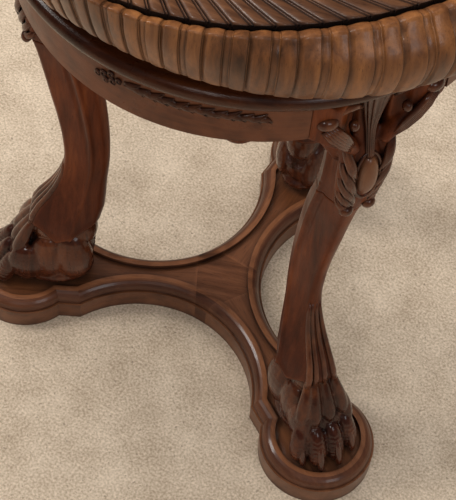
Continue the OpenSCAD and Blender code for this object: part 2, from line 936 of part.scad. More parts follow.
module board_screws() {
  color("gray")
    board_screw_places()
      sunk_screw(wood_screw_r, board_t + plate_screw_bite, head_share);
}

// Flutes lie closer together near the hinge of the shell
crowding = 15;
first_flute_share = 0.77;
function flute_angle(turn_share) = hinge_angle + 360 * turn_share - crowding * sin(360 * turn_share);

// Within a pair: a wide flute, a flat, a narrow flute and a flat
flute_place_share = [0.00, 0.06, 0.15, 0.45, 0.50, 0.56];
flute_cut_share = [0.00, 1.00, 0.00, 0.00, 0.80, 0.00];
near_r_share = [0.868, 0.881, 0.901, 0.917, 0.931];
far_r_share = [0.935, 0.962, 0.996, 0.992, 0.932];
wall_z_share = [0.00, 0.13, 0.42, 0.70, 1.00];
lip_w = 4;
crevice_drop = wall_h / 4;
apron_in = well_r - 2 * apron_h;
lobe_rise = 1.2;

// Zero beside the hinge, one on the far side of the seat
function far_side(a) = 0.5 - 0.5 * cos(min(1, max(0, (acos(cos(a - hinge_angle)) - 15) / 65)) * half_angle);
function lip_height(a) = lip_z - lip_drop * (1 - far_side(a));

function wall_profile(a, cut, bulge) =
  let (far = far_side(a), lip = lip_height(a), low = seat_z - apron_h)
  concat(
    [for (i = [0:len(wall_z_share) - 1])
      [seat_r * (far_r_share[i] * far + near_r_share[i] * (1 - far)) - flute_depth * cut + (i > 1 ? bulge : 0),
        low + (lip - low) * wall_z_share[i]]],
    [[seat_r * near_r_share[4] - lip_w - flute_depth * cut, lip], [well_r, lip - crevice_drop],
      [well_r, seat_z], [apron_in, low]]
  );

module seat_rim() {
  per_pair = len(flute_place_share);
  columns = [for (k = [0:flute_pairs - 1], j = [0:per_pair - 1])
    let (
      s = flute_place_share[j],
      a = flute_angle((k + s + first_flute_share) / flute_pairs),
      bulge = lobe_rise * (sin(half_angle * (s - 0.09)) - 0.5)
    )
    [for (p = wall_profile(a, flute_cut_share[j], bulge)) [p[0] * cos(a), p[0] * sin(a), p[1]]]];
  n = len(columns[0]);
  count = len(columns);
  color("peru")
    polyhedron(
      [for (c = columns) for (p = c) p],
      [for (k = [0:count - 1], i = [0:n - 1])
        let (next = (k + 1) % count)
        [k * n + i, k * n + (i + 1) % n, next * n + (i + 1) % n, next * n + i]],
      convexity = 10
    );
}

// Shell: ribs run straight from the hinge to the edge, across a hollow top
shell_r = well_r - seat_fit;
shell_edge_r = well_r * 0.975;
shell_edge_drop = wall_h * 0.12;
shell_side_drop = crevice_drop * 1.4;
shell_run_share = [0.10, 0.30, 0.62, 1.00];
rib_place_share = [-0.05, 0.03, 0.13, 0.55];
rib_cut_share = [0.85, -0.30, 1.20, -0.65];
rib_depth = 1.6;
hinge = [hinge_r * cos(hinge_angle), hinge_r * sin(hinge_angle)];
hinge_z = lip_z - shell_edge_drop - lip_drop * 0.6;

function shell_height(p, run, a) =
  hinge_z + (lip_height(a) - shell_edge_drop - hinge_z) * pow(run, 2)
  - dish * (1 - pow(norm(p) / shell_edge_r, 2)) + hinge_rise * max(0, 1 - run / 0.45);

function shell_point(a, run, cut) =
  let (
    edge = shell_edge_r * [cos(a), sin(a)],
    p = hinge + (edge - hinge) * run,
    z = shell_height(p, run, a) - rib_depth * cut * min(1, run / 0.45)
  )
  [p[0], p[1], z];

module seat_shell() {
  per_rib = len(rib_place_share);
  ribs = 2 * flute_pairs;
  spokes = [for (k = [0:ribs - 1], j = [0:per_rib - 1])
    let (a = flute_angle((k + rib_place_share[j] + 2 * first_flute_share) / ribs))
    concat(
      [for (run = shell_run_share) shell_point(a, run, rib_cut_share[j])],
      [[shell_r * cos(a), shell_r * sin(a), lip_height(a) - shell_side_drop],
        [shell_r * cos(a), shell_r * sin(a), board_top]]
    )];
  n = len(spokes[0]);
  count = len(spokes);
  cap_top = count * n;
  cap_bottom = cap_top + 1;
  color("chocolate")
    difference() {
      polyhedron(
        concat(
          [for (s = spokes) for (p = s) p],
          [[hinge[0], hinge[1], shell_height(hinge, 0, hinge_angle)], [0, 0, board_top]]
        ),
        concat(
          [for (k = [0:count - 1], i = [0:n - 2])
            let (next = (k + 1) % count)
            [k * n + i, next * n + i, next * n + i + 1, k * n + i + 1]],
          [for (k = [0:count - 1]) [cap_top, ((k + 1) % count) * n, k * n]],
          [for (k = [0:count - 1]) [cap_bottom, k * n + n - 1, ((k + 1) % count) * n + n - 1]]
        ),
        convexity = 10
      );
      board_screw_places()
        cylinder(r = wood_screw_r + hole_fit, h = board_t + plate_screw_bite + hole_fit, $fn = 12);
    }
}

base_core();
base_arm(back_angle);  // base_arm_back
base_arm(left_angle);  // base_arm_left
base_arm(right_angle);  // base_arm_right
base_dowels();
leg(back_angle);  // leg_back
leg(left_angle);  // leg_left
leg(right_angle);  // leg_right
leg_screws();
knee_dowels();
knee_block(back_angle);  // knee_back_block
knee_block(left_angle);  // knee_left_block
knee_block(right_angle);  // knee_right_block
rail(left_angle + third_angle / 2);  // rail_front
rail(back_angle + third_angle / 2);  // rail_back_left
rail(back_angle - third_angle / 2);  // rail_back_right
rail_dowels();
corner_block(back_angle);  // corner_block_back
corner_block(left_angle);  // corner_block_left
corner_block(right_angle);  // corner_block_right
corner_block_screws();
top_frame();
pendant();
pendant_screws();
screw_nut();
nut_screws();
leather_washer();
spindle();
stop_collar();
stop_pin();
seat_plate();
plate_screws();
seat_board();
board_screws();
seat_rim();
seat_shell();
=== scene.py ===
"""Dresses a revolving piano stool: carved walnut, black iron, worn steel and leather.

The shapes are built in millimetres in the frame of the solids. The z axis is the axis of the stool, and the
platform stands on the floor at zero.
"""

import logging
import math
from abc import ABC, abstractmethod
from dataclasses import dataclass, field
from enum import Enum
from typing import Callable, Sequence

import bpy
import numpy as np
from mathutils import Matrix


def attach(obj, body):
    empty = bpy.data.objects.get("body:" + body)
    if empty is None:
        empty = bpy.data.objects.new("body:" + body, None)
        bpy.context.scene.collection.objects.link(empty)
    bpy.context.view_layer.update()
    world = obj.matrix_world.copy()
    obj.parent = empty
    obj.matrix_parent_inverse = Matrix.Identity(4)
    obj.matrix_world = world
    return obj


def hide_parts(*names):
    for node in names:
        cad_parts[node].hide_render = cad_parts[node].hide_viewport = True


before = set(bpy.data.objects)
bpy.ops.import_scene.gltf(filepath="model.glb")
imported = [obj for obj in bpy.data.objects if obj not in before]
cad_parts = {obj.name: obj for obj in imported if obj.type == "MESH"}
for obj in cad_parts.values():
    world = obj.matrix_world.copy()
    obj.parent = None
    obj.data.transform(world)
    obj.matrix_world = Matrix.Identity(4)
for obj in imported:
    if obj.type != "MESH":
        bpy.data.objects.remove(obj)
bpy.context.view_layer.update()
LOG = logging.getLogger("stool")
MM = 0.001
SIDES = (-1, 1)
UP = (0.0, 0.0, 1.0)
OUT = (1.0, 0.0, 0.0)
ACROSS = (0.0, 1.0, 0.0)
Point = tuple[float, float, float]
Colour = tuple[float, float, float]
Tones = tuple[Colour, Colour, Colour]
Table = tuple[tuple[float, ...], ...]
Socket = bpy.types.NodeSocket


class Grain(Enum):
    """How the fibres run in a piece of wood."""

    UPRIGHT = "up the piece"
    LEVEL = "along one level direction"
    ROUND = "round the axis of the stool"


class Spot(Enum):
    """Where a leg stands, as its angle in degrees."""

    BACK = 90
    LEFT = 210
    RIGHT = 330


def curve(xs: Sequence[float], ys: Sequence[float], x: np.ndarray) -> np.ndarray:
    """Runs a smooth line through points.

    Args:
        xs: Places of the points, rising.
        ys: Values at those places.
        x: Where to read the line.

    Returns:
        The line's values at x.
    """
    px, py = np.asarray(xs, float), np.asarray(ys, float)
    slope = np.gradient(py, px)
    x = np.clip(x, px[0], px[-1])
    i = np.clip(np.searchsorted(px, x) - 1, 0, len(px) - 2)
    h = px[i + 1] - px[i]
    t = (x - px[i]) / h
    low = (1 + 2 * t) * (1 - t) ** 2 * py[i] + t * (1 - t) ** 2 * h * slope[i]
    high = t * t * (3 - 2 * t) * py[i + 1] + t * t * (t - 1) * h * slope[i + 1]
    return low + high


def flowing(rows: Sequence[Sequence[float]], count: int) -> np.ndarray:
    """Refines a table of points to a smooth line.

    Args:
        rows: The points; each row may hold more values than a place, such as a thickness.
        count: How many points the line gets.

    Returns:
        Array of count x the length of a row.
    """
    points = np.asarray(rows, float)
    steps = np.arange(len(points))
    fine = np.linspace(0, len(points) - 1, count)
    return np.stack([curve(steps, points[:, k], fine) for k in range(points.shape[1])], axis=-1)


def bump(x: np.ndarray, centre: float, half: float) -> np.ndarray:
    """Gives a smooth hump of height 1 round centre that ends at half to each side."""
    t = np.clip(np.abs(x - centre) / half, 0, 1)
    return (1 - t * t) ** 2


def rounding(x: np.ndarray) -> np.ndarray:
    """Rises from 0 to 1 along a quarter of a circle while x goes from 0 to 1."""
    return np.sqrt(np.clip(1 - (1 - np.clip(x, 0, 1)) ** 2, 0, 1))


def arch(x: np.ndarray) -> np.ndarray:
    """Gives half a wave of height 1 between 0 and 1, and nothing beyond."""
    return np.sin(np.pi * np.clip(x, 0, 1))


def around(turn: np.ndarray, radius: float | np.ndarray, height: float | np.ndarray) -> np.ndarray:
    """Lays points round the axis of the stool.

    Args:
        turn: Direction of each point in radians.
        radius: Distance from the axis, one for all or one for each.
        height: Height, one for all or one for each.

    Returns:
        Array of points x 3.
    """
    turn, radius, height = np.broadcast_arrays(turn, radius, height)
    return np.stack([radius * np.cos(turn), radius * np.sin(turn), height], axis=-1)


@dataclass
class Shape:
    """A mesh in millimetres: its points and the faces between them."""

    points: np.ndarray
    faces: list[tuple[int, ...]]

    @staticmethod
    def grid(points: np.ndarray, closed_rows: bool = False, closed_columns: bool = False,
             caps: bool = False) -> "Shape":
        """Joins a grid of points with four-sided faces.

        Args:
            points: Array of rows x columns x 3.
            closed_rows: True if the last row joins the first.
            closed_columns: True if the last column joins the first.
            caps: True to close the first and the last row with one face each.

        Returns:
            The shape.
        """
        n, m = points.shape[:2]
        i = np.arange(n if closed_rows else n - 1)[:, None]
        j = np.arange(m if closed_columns else m - 1)[None, :]
        a, b = (i + 1) % n, (j + 1) % m
        quads = np.stack([i * m + j, i * m + b, a * m + b, a * m + j], axis=-1).reshape(-1, 4)
        faces = [tuple(int(v) for v in q) for q in quads]
        if caps:
            faces += [tuple(range(m - 1, -1, -1)), tuple(range((n - 1) * m, n * m))]
        return Shape(points.reshape(-1, 3), faces)

    @staticmethod
    def solid(rows: Sequence[np.ndarray] | np.ndarray) -> "Shape":
        """Closes rings of points, laid one after the other, into a solid with capped ends."""
        return Shape.grid(np.asarray(rows), closed_columns=True, caps=True)

    @staticmethod
    def joined(shapes: Sequence["Shape"]) -> "Shape":
        """Puts several shapes into one mesh.

        Args:
            shapes: The shapes.

        Returns:
            One shape with all their points and faces.
        """
        points, faces, start = [], [], 0
        for shape in shapes:
            points.append(shape.points)
            faces += [tuple(v + start for v in f) for f in shape.faces]
            start += len(shape.points)
        return Shape(np.vstack(points), faces)

    def turned(self, degrees: float) -> "Shape":
        """Turns the shape about the axis of the stool."""
        c, s = math.cos(math.radians(degrees)), math.sin(math.radians(degrees))
        return Shape(self.points @ np.array([[c, s, 0], [-s, c, 0], [0, 0, 1]]), self.faces)

    def mesh(self, name: str) -> bpy.types.Mesh:
        """Makes a Blender mesh in metres with smooth faces.

        Args:
            name: Name of the mesh.

        Returns:
            The mesh.
        """
        mesh = bpy.data.meshes.new(name)
        mesh.from_pydata((self.points * MM).tolist(), [], self.faces)
        mesh.validate()
        mesh.polygons.foreach_set("use_smooth", [True] * len(mesh.polygons))
        return mesh

    def fused(self, voxel: float, rounds: int,
              relief: Callable[[np.ndarray], np.ndarray] | None = None) -> "Shape":
        """Melts overlapping solids into one skin, as a carver blends them.

        Args:
            voxel: Size of the finest detail that is kept, in millimetres.
            rounds: How often the skin is smoothed.
            relief: Gives each point's lift along its normal, in millimetres.

        Returns:
            The skin.
        """
        obj = bpy.data.objects.new("melt", self.mesh("melt"))
        bpy.context.scene.collection.objects.link(obj)
        melt = obj.modifiers.new("melt", "REMESH")
        melt.mode = "VOXEL"
        melt.voxel_size = voxel * MM
        soft = obj.modifiers.new("soft", "SMOOTH")
        soft.iterations = rounds
        soft.factor = 0.5
        done = bpy.data.meshes.new_from_object(obj.evaluated_get(bpy.context.evaluated_depsgraph_get()))
        points = np.empty(len(done.vertices) * 3)
        done.vertices.foreach_get("co", points)
        points = points.reshape(-1, 3) / MM
        if relief is not None:
            normals = np.empty(len(done.vertices) * 3)
            done.vertices.foreach_get("normal", normals)
            points = points + normals.reshape(-1, 3) * relief(points)[:, None]
        faces = [tuple(p.vertices) for p in done.polygons]
        bpy.data.objects.remove(obj)
        bpy.data.meshes.remove(done)
        return Shape(points, faces)


def tube(path: np.ndarray, radii: Sequence[float] | np.ndarray, sides: int = 14, squash: float = 1.0,
         across: Sequence[float] = ACROSS) -> Shape:
    """Sweeps an oval along a path and closes both ends.

    Args:
        path: Points of the middle line.
        radii: Radius at each point, measured along across.
        sides: Points round the oval.
        squash: Thickness over width.
        across: Direction of the oval's width.

    Returns:
        The closed tube.
    """
    path, radii = np.asarray(path, float), np.asarray(radii, float)
    along = np.gradient(path, axis=0)
    along /= np.linalg.norm(along, axis=1)[:, None]
    side = np.asarray(across, float)[None, :] - along * (along @ np.asarray(across, float))[:, None]
    side /= np.linalg.norm(side, axis=1)[:, None]
    up = np.cross(along, side)
    turn = np.linspace(0, 2 * np.pi, sides, endpoint=False)[None, :, None]
    ring = np.cos(turn) * side[:, None, :] + squash * np.sin(turn) * up[:, None, :]
    return Shape.solid(path[:, None, :] + ring * radii[:, None, None])


def bead(centre: Sequence[float], radii: Sequence[float], tilt: float = 0.0, yaw: float = 0.0) -> Shape:
    """Makes an egg-shaped solid.

    Args:
        centre: Its middle.
        radii: Half its length along x, y and z.
        tilt: Turn about y in degrees.
        yaw: Turn about z in degrees.

    Returns:
        The closed solid.
    """
    lat = np.linspace(-np.pi / 2, np.pi / 2, 15)[1:-1]
    lon = np.linspace(0, 2 * np.pi, 20, endpoint=False)
    ball = np.stack([np.cos(lat)[:, None] * np.cos(lon), np.cos(lat)[:, None] * np.sin(lon),
                     np.repeat(np.sin(lat)[:, None], len(lon), axis=1)], axis=-1)
    turn = Matrix.Rotation(math.radians(yaw), 3, "Z") @ Matrix.Rotation(math.radians(tilt), 3, "Y")
    return Shape.solid((ball * np.asarray(radii)) @ np.array(turn).T + np.asarray(centre))


@dataclass(frozen=True)
class Sheet:
    """Adds shader nodes to one node tree."""

    tree: bpy.types.NodeTree

    def add(self, kind: str, inputs: dict | None = None, **settings: object) -> bpy.types.Node:
        """Adds a node, sets it up and joins its inputs.

        Args:
            kind: The node's type without its prefix.
            inputs: Value or socket for each input, by name or number.
            settings: Attributes of the node.

        Returns:
            The node.
        """
        node = self.tree.nodes.new("ShaderNode" + kind)
        for key, value in settings.items():
            setattr(node, key, value)
        for key, value in (inputs or {}).items():
            if isinstance(value, Socket):
                self.tree.links.new(value, node.inputs[key])
            else:
                node.inputs[key].default_value = value
        return node

    def places(self) -> Socket:
        """Gives the coordinates of the piece in the stool's frame."""
        return self.add("TexCoord").outputs["Object"]

    def noise(self, where: Socket, scale: float, detail: float = 4.0, rough: float = 0.55,
              twist: float = 0.0) -> Socket:
        """Adds a noise texture and returns its grey value."""
        return self.add("TexNoise", {"Vector": where, "Scale": scale, "Detail": detail, "Roughness": rough,
                                     "Distortion": twist}).outputs[0]

    def ramp(self, value: Socket, stops: Sequence[tuple[float, Colour]]) -> Socket:
        """Turns a grey value into colours.

        Args:
            value: The grey value.
            stops: Each place on the ramp with its colour.

        Returns:
            The colour.
        """
        node = self.add("ValToRGB", {0: value})
        band = node.color_ramp.elements
        while len(band) < len(stops):
            band.new(0.5)
        for element, (place, colour) in zip(band, stops):
            element.position = place
            element.color = (*colour, 1)
        return node.outputs[0]

    def sums(self, how: str, a: Socket | float, b: Socket | float, clamp: bool = False) -> Socket:
        """Adds a math node and returns its value."""
        return self.add("Math", {0: a, 1: b}, operation=how, use_clamp=clamp).outputs[0]

    def weighed(self, *parts: tuple[Socket, float]) -> Socket:
        """Adds up grey values by their weights.

        Args:
            parts: Each value with its weight.

        Returns:
            The sum.
        """
        terms = [self.sums("MULTIPLY", value, weight) for value, weight in parts]
        total = terms[0]
        for term in terms[1:]:
            total = self.sums("ADD", total, term)
        return total

    def span(self, value: Socket, low: float, high: float, to_low: float, to_high: float) -> Socket:
        """Maps one range of values to another, with a clamp."""
        return self.add("MapRange", {0: value, 1: low, 2: high, 3: to_low, 4: to_high}).outputs[0]

    def blend(self, share: Socket | float, a: Socket, b: Socket | tuple[float, ...],
              how: str = "MIX") -> Socket:
        """Mixes two colours."""
        return self.add("Mix", {0: share, 6: a, 7: b}, data_type="RGBA", blend_type=how).outputs[2]

    def tinted(self, share: Socket, colour: Socket, tint: Colour) -> Socket:
        """Multiplies a colour by a tint as far as share says."""
        return self.blend(share, colour, self.blend(1.0, colour, (*tint, 1), "MULTIPLY"))

    def relief(self, height: Socket, strength: float, depth: float) -> Socket:
        """Turns a height into a bumped normal; depth is in millimetres."""
        return self.add("Bump", {"Height": height, "Strength": strength, "Distance": depth * MM}).outputs[0]


@dataclass(frozen=True)
class Finish(ABC):
    """What covers a piece; each kind of finish lays its own shader."""

    name: str

    @abstractmethod
    def shader(self, sheet: Sheet) -> bpy.types.Node:
        """Lays the nodes of the finish and returns its shader."""

    def make(self) -> bpy.types.Material:
        """Builds the material.

        Returns:
            The material, ready for a piece.
        """
        material = bpy.data.materials.new(self.name)
        material.use_nodes = True
        material.node_tree.nodes.clear()
        sheet = Sheet(material.node_tree)
        sheet.add("OutputMaterial", {0: self.shader(sheet).outputs[0]})
        return material


@dataclass(frozen=True)
class WoodFinish(Finish):
    """Polished wood with fibres, pores, worn edges, dust and painted shade in its hollows, and painted light
    and shade by height and slope where asked.

    Attributes:
        dark: Tone of the dark streaks.
        mid: Tone of most of the wood.
        light: Tone of the light streaks.
        grain: How the fibres run.
        turn: Turn of level fibres about the axis, in degrees.
        gloss: Roughness of the polish.
        dirt_and_shade: How dark the hollows get, partly from dust and partly as painted shade.
        wear: How far the edges are rubbed light.
        reach: Width of the hollows that get dust and painted shade, in metres.
        coat: Weight of the shellac.
        shine: Strength of the wood's own mirror.
        rub_from: Sharpness from which an edge is rubbed.
        dirt_and_shade_tone: Tone of the dust and painted shade in the hollows.
        light_by_height: Painted light and shade by height: height where a tint starts, height where it is
            full, and the tint.
        slope_shade: Painted shade on all slopes, level faces staying as they are.
    """

    dark: Colour
    mid: Colour
    light: Colour
    grain: Grain = Grain.UPRIGHT
    turn: float = 0.0
    gloss: float = 0.36
    dirt_and_shade: float = 0.75
    wear: float = 0.55
    reach: float = 0.007
    coat: float = 0.06
    shine: float = 0.32
    rub_from: float = 0.52
    dirt_and_shade_tone: Colour = (0.0055, 0.0035, 0.003)
    light_by_height: tuple[float, float, Colour] | None = None
    slope_shade: Colour | None = None

    def fibres(self, sheet: Sheet) -> Socket:
        """Gives coordinates that are stretched along the fibres.

        Args:
            sheet: Where the nodes go.

        Returns:
            The coordinates.
        """
        where = sheet.places()
        if self.grain is Grain.ROUND:
            parts = sheet.add("SeparateXYZ", {0: where}).outputs
            swing = sheet.sums("MULTIPLY", sheet.sums("ARCTAN2", parts[1], parts[0]), 0.16)
            far = sheet.add("VectorMath", {0: where}, operation="LENGTH").outputs[1]
            where = sheet.add("CombineXYZ", {0: swing, 1: far, 2: parts[2]}).outputs[0]
        stretch = (1.0, 1.0, 0.09) if self.grain is Grain.UPRIGHT else (0.09, 1.0, 1.0)
        spin = (0, 0, -math.radians(self.turn))
        turned = sheet.add("Mapping", {"Vector": where, "Rotation": spin}).outputs[0]
        return sheet.add("Mapping", {"Vector": turned, "Scale": stretch}).outputs[0]

    def painted_light_and_shade(self, sheet: Sheet, colour: Socket, plain: Socket) -> Socket:
        """Paints light and shade on the clean wood by height, and shade on its slopes.

        Args:
            sheet: Where the nodes go.
            colour: Colour of the clean wood.
            plain: Coordinates of the piece.

        Returns:
            The tinted colour.
        """
        # Painted light and shade by height: a tint that grows between two heights.
        if self.light_by_height is not None:
            starts, full, tint = self.light_by_height
            height = sheet.add("SeparateXYZ", {0: plain}).outputs[2]
            colour = sheet.tinted(sheet.span(height, starts, full, 0.0, 1.0), colour, tint)
        # Painted shade: faces that are not level are darkened.
        if self.slope_shade is not None:
            normal = sheet.add("NewGeometry").outputs["Normal"]
            facing = sheet.add("SeparateXYZ", {0: normal}).outputs[2]
            colour = sheet.tinted(sheet.span(facing, 0.90, 0.98, 1.0, 0.0), colour, self.slope_shade)
        return colour

    def shader(self, sheet: Sheet) -> bpy.types.Node:
        """Lays streaks, pores, rubbed edges, dust with painted shade in the hollows, painted light by height
        and slope, and polish.

        Args:
            sheet: Where the nodes go.

        Returns:
            The shader.
        """
        along, plain = self.fibres(sheet), sheet.places()
        streak = sheet.noise(along, 190.0, detail=6.0, rough=0.62, twist=0.35)
        broad = sheet.noise(along, 34.0, detail=3.0, rough=0.5, twist=0.8)
        cloud = sheet.noise(plain, 16.0, detail=2.0)
        pores = sheet.noise(along, 1500.0, detail=2.0, rough=0.6)
        tone = sheet.weighed((streak, 0.42), (broad, 0.33), (cloud, 0.25))
        colour = sheet.ramp(tone, [(0.36, self.dark), (0.50, self.mid), (0.64, self.light)])
        colour = self.painted_light_and_shade(sheet, colour, plain)
        open_pore = sheet.span(pores, 0.60, 0.72, 0.0, 0.5)
        colour = sheet.blend(open_pore, colour, (*[c * 0.35 for c in self.dark], 1))
        edge = sheet.add("NewGeometry").outputs["Pointiness"]
        sharp = sheet.span(edge, self.rub_from, self.rub_from + 0.08, 0.0, self.wear)
        patchy = sheet.span(sheet.noise(plain, 70.0, detail=3.0), 0.35, 0.6, 0.3, 1.0)
        rubbed = (*[min(1.0, c * 1.5 + 0.004) for c in self.light], 1)
        colour = sheet.blend(sheet.sums("MULTIPLY", sharp, patchy), colour, rubbed)
        # Dust and painted shade: hollows found by ambient occlusion are darkened towards a dark tone and made
        # rougher.
        open_air = sheet.add("AmbientOcclusion", {"Distance": self.reach}, samples=6).outputs["AO"]
        dirt_and_shade_share = sheet.span(open_air, 0.25, 0.92, self.dirt_and_shade, 0.0)
        colour = sheet.blend(dirt_and_shade_share, colour, (*self.dirt_and_shade_tone, 1))
        rough = sheet.span(sheet.noise(plain, 45.0), 0.3, 0.7, self.gloss - 0.07, self.gloss + 0.12)
        rough = sheet.sums("ADD", rough, sheet.sums("MULTIPLY", dirt_and_shade_share, 0.3), clamp=True)
        normal = sheet.relief(sheet.weighed((streak, 0.6), (pores, -0.5)), 0.28, 0.5)
        return sheet.add("BsdfPrincipled", {"Base Color": colour, "Roughness": rough, "Normal": normal,
                                            "Specular IOR Level": self.shine, "Coat Weight": self.coat,
                                            "Coat Roughness": 0.12})


@dataclass(frozen=True)
class MetalFinish(Finish):
    """Old metal with a mottled skin and a little rust."""

    colour: Colour
    rust: Colour
    metallic: float
    roughness: float

    def shader(self, sheet: Sheet) -> bpy.types.Node:
        """Lays the mottled skin, the rust and a fine grain.

        Args:
            sheet: Where the nodes go.

        Returns:
            The shader.
        """
        where = sheet.places()
        spots = sheet.noise(where, 120.0, detail=6.0, rough=0.65)
        fine = sheet.noise(where, 900.0, detail=3.0)
        shade = tuple(c * 0.6 for c in self.colour)
        colour = sheet.ramp(spots, [(0.35, shade), (0.55, self.colour), (0.72, self.rust)])
        rough = sheet.span(spots, 0.3, 0.75, self.roughness - 0.08, self.roughness + 0.25)
        normal = sheet.relief(fine, 0.25, 0.3)
        return sheet.add("BsdfPrincipled", {"Base Color": colour, "Roughness": rough, "Normal": normal,
                                            "Metallic": self.metallic})


@dataclass(frozen=True)
class LeatherFinish(Finish):
    """Oiled leather with a pebbled grain and pressed, shiny patches."""

    name: str = "oiled_leather"
    colour: Colour = (0.085, 0.040, 0.020)

    def shader(self, sheet: Sheet) -> bpy.types.Node:
        """Lays the pebbles and the pressed patches.

        Args:
            sheet: Where the nodes go.

        Returns:
            The shader.
        """
        where = sheet.places()
        cells = sheet.add("TexVoronoi", {"Vector": where, "Scale": 900.0}).outputs[0]
        wear = sheet.noise(where, 120.0)
        shade = tuple(c * 0.5 for c in self.colour)
        colour = sheet.ramp(wear, [(0.3, shade), (0.7, self.colour)])
        rough = sheet.span(wear, 0.3, 0.7, 0.45, 0.75)
        return sheet.add("BsdfPrincipled", {"Base Color": colour, "Roughness": rough,
                                            "Normal": sheet.relief(cells, 0.4, 0.4)})


@dataclass(frozen=True)
class StoneFinish(Finish):
    """Pale mottled stone with specks and small pits, for the floor."""

    name: str = "pale_floor"
    dark: Colour = (0.36, 0.265, 0.175)
    light: Colour = (0.74, 0.60, 0.45)
    pit: Colour = (0.17, 0.12, 0.08)

    def shader(self, sheet: Sheet) -> bpy.types.Node:
        """Lays the mottled ground, the specks and the pits.

        Args:
            sheet: Where the nodes go.

        Returns:
            The shader.
        """
        where = sheet.places()
        mottle = sheet.noise(where, 22.0, detail=8.0, rough=0.7)
        specks = sheet.noise(where, 560.0, detail=2.0, rough=0.6)
        tone = sheet.weighed((mottle, 0.42), (specks, 0.58))
        colour = sheet.ramp(tone, [(0.36, self.dark), (0.62, self.light)])
        pits = sheet.span(sheet.noise(where, 300.0, detail=1.0, rough=0.5), 0.68, 0.74, 0.0, 0.55)
        colour = sheet.blend(pits, colour, (*self.pit, 1))
        return sheet.add("BsdfPrincipled", {"Base Color": colour, "Roughness": 0.7})


WALNUT: Tones = ((0.042, 0.0085, 0.0024), (0.110, 0.0230, 0.0058), (0.205, 0.0500, 0.0120))
PLATFORM_WOOD: Tones = ((0.060, 0.0200, 0.0076), (0.156, 0.0540, 0.0205), (0.250, 0.0950, 0.0380))
CARVED_WOOD: Tones = ((0.016, 0.0040, 0.0023), (0.050, 0.0115, 0.0050), (0.120, 0.0320, 0.0115))
BOSS_WOOD: Tones = (WALNUT[1], (0.14, 0.048, 0.017), (0.22, 0.080, 0.028))
# The frame's own dark walnut, deepened with painted shade for the seat's shadow; the carved spray on the
# rails shares it.
RING_WOOD_AND_SHADE: Tones = ((0.012, 0.0029, 0.0010), (0.036, 0.0084, 0.0024), (0.080, 0.0210, 0.0058))
RAIL_WOOD: Tones = ((0.022, 0.0052, 0.0019), (0.060, 0.0155, 0.0050), (0.120, 0.0345, 0.0108))
WALL_WOOD: Tones = ((0.040, 0.0145, 0.0052), (0.148, 0.0520, 0.0155), (0.300, 0.1150, 0.0330))
SHELL_WOOD: Tones = ((0.040, 0.0150, 0.0068), (0.112, 0.0450, 0.0190), (0.240, 0.1050, 0.0440))
BEECH: Tones = ((0.16, 0.085, 0.04), (0.27, 0.155, 0.08), (0.36, 0.22, 0.12))


def beech(name: str) -> WoodFinish:
    """Gives the finish of the plain inner blocks and dowels."""
    return WoodFinish(name, *BEECH, gloss=0.6, coat=0.0)


@dataclass
class Workshop:
    """Holds the finishes, places pieces and reports them.

    Attributes:
        finishes: The materials made so far, by the name of their finish.
        bevel_steps: Faces across a softened edge.
        bevel_from: Angle in degrees from which an edge is softened.
    """

    finishes: dict[str, bpy.types.Material] = field(default_factory=dict)
    bevel_steps: int = 2
    bevel_from: float = 40.0

    def finish(self, maker: Finish) -> bpy.types.Material:
        """Gives the material of a finish and makes it the first time.

        Args:
            maker: The finish.

        Returns:
            Its material.
        """
        if maker.name not in self.finishes:
            self.finishes[maker.name] = maker.make()
        return self.finishes[maker.name]

    def piece(self, name: str, shape: Shape, maker: Finish, body: str, slot: str,
              stands_for: Sequence[str] = ()) -> None:
        """Adds a piece to the scene.

        Args:
            name: Name of the piece.
            shape: Its mesh in millimetres.
            maker: Its finish.
            body: The CAD body that it moves with.
            slot: The record's material slot; not used.
            stands_for: CAD nodes that it takes the place of.
        """
        obj = bpy.data.objects.new(name, shape.mesh(name))
        bpy.context.scene.collection.objects.link(obj)
        obj.data.materials.append(self.finish(maker))
        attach(obj, body)
        if stands_for:
            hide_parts(*stands_for)
        LOG.info("piece %s: %d points", name, len(shape.points))

    def dress(self, node: str, maker: Finish, round_off: float = 0.0) -> None:
        """Gives a CAD node its finish and softens its edges.

        Args:
            node: Name of the CAD node.
            maker: Its finish.
            round_off: Width of its softened edges in millimetres.
        """
        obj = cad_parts[node]
        obj.data.materials.clear()
        obj.data.materials.append(self.finish(maker))
        if round_off:
            soft = obj.modifiers.new("soft edges", "BEVEL")
            soft.width = round_off * MM
            soft.segments = self.bevel_steps
            soft.limit_method = "ANGLE"
            soft.angle_limit = math.radians(self.bevel_from)
        LOG.info("node %s: %s", node, maker.name)


@dataclass
class Platform:
    """The three-cornered platform: its arms, its centre block and the dowels between them.

    Attributes:
        shop: Where finishes and pieces go.
        painted_slope_shade: Painted shade on the moulded edge beside the level panel.
        arm_edge: Width of the arms' softened edges.
        core_edge: Width of the centre block's softened edges.
        core_turn: Direction of the centre block's fibres in degrees.
    """

    shop: Workshop
    painted_slope_shade: Colour = (0.52, 0.46, 0.48)
    arm_edge: float = 0.5
    core_edge: float = 0.1
    core_turn: float = 20.0

    def build(self) -> None:
        """Dresses the arms, the centre block and the dowels."""
        # Painted shade darkens every sloping face of the arms and the centre block.
        for spot in Spot:
            key = spot.name.lower()
            arm = WoodFinish(f"arm_walnut_{key}", *PLATFORM_WOOD, Grain.LEVEL, spot.value, wear=0.3,
                             coat=0.25, slope_shade=self.painted_slope_shade)
            self.shop.dress(f"base_arm_{key}", arm, self.arm_edge)
        core = WoodFinish("core_walnut", *PLATFORM_WOOD, Grain.LEVEL, self.core_turn, wear=0.0,
                          slope_shade=self.painted_slope_shade)
        self.shop.dress("base_core", core, self.core_edge)
        self.shop.dress("base_dowels", beech("dowel_beech"))


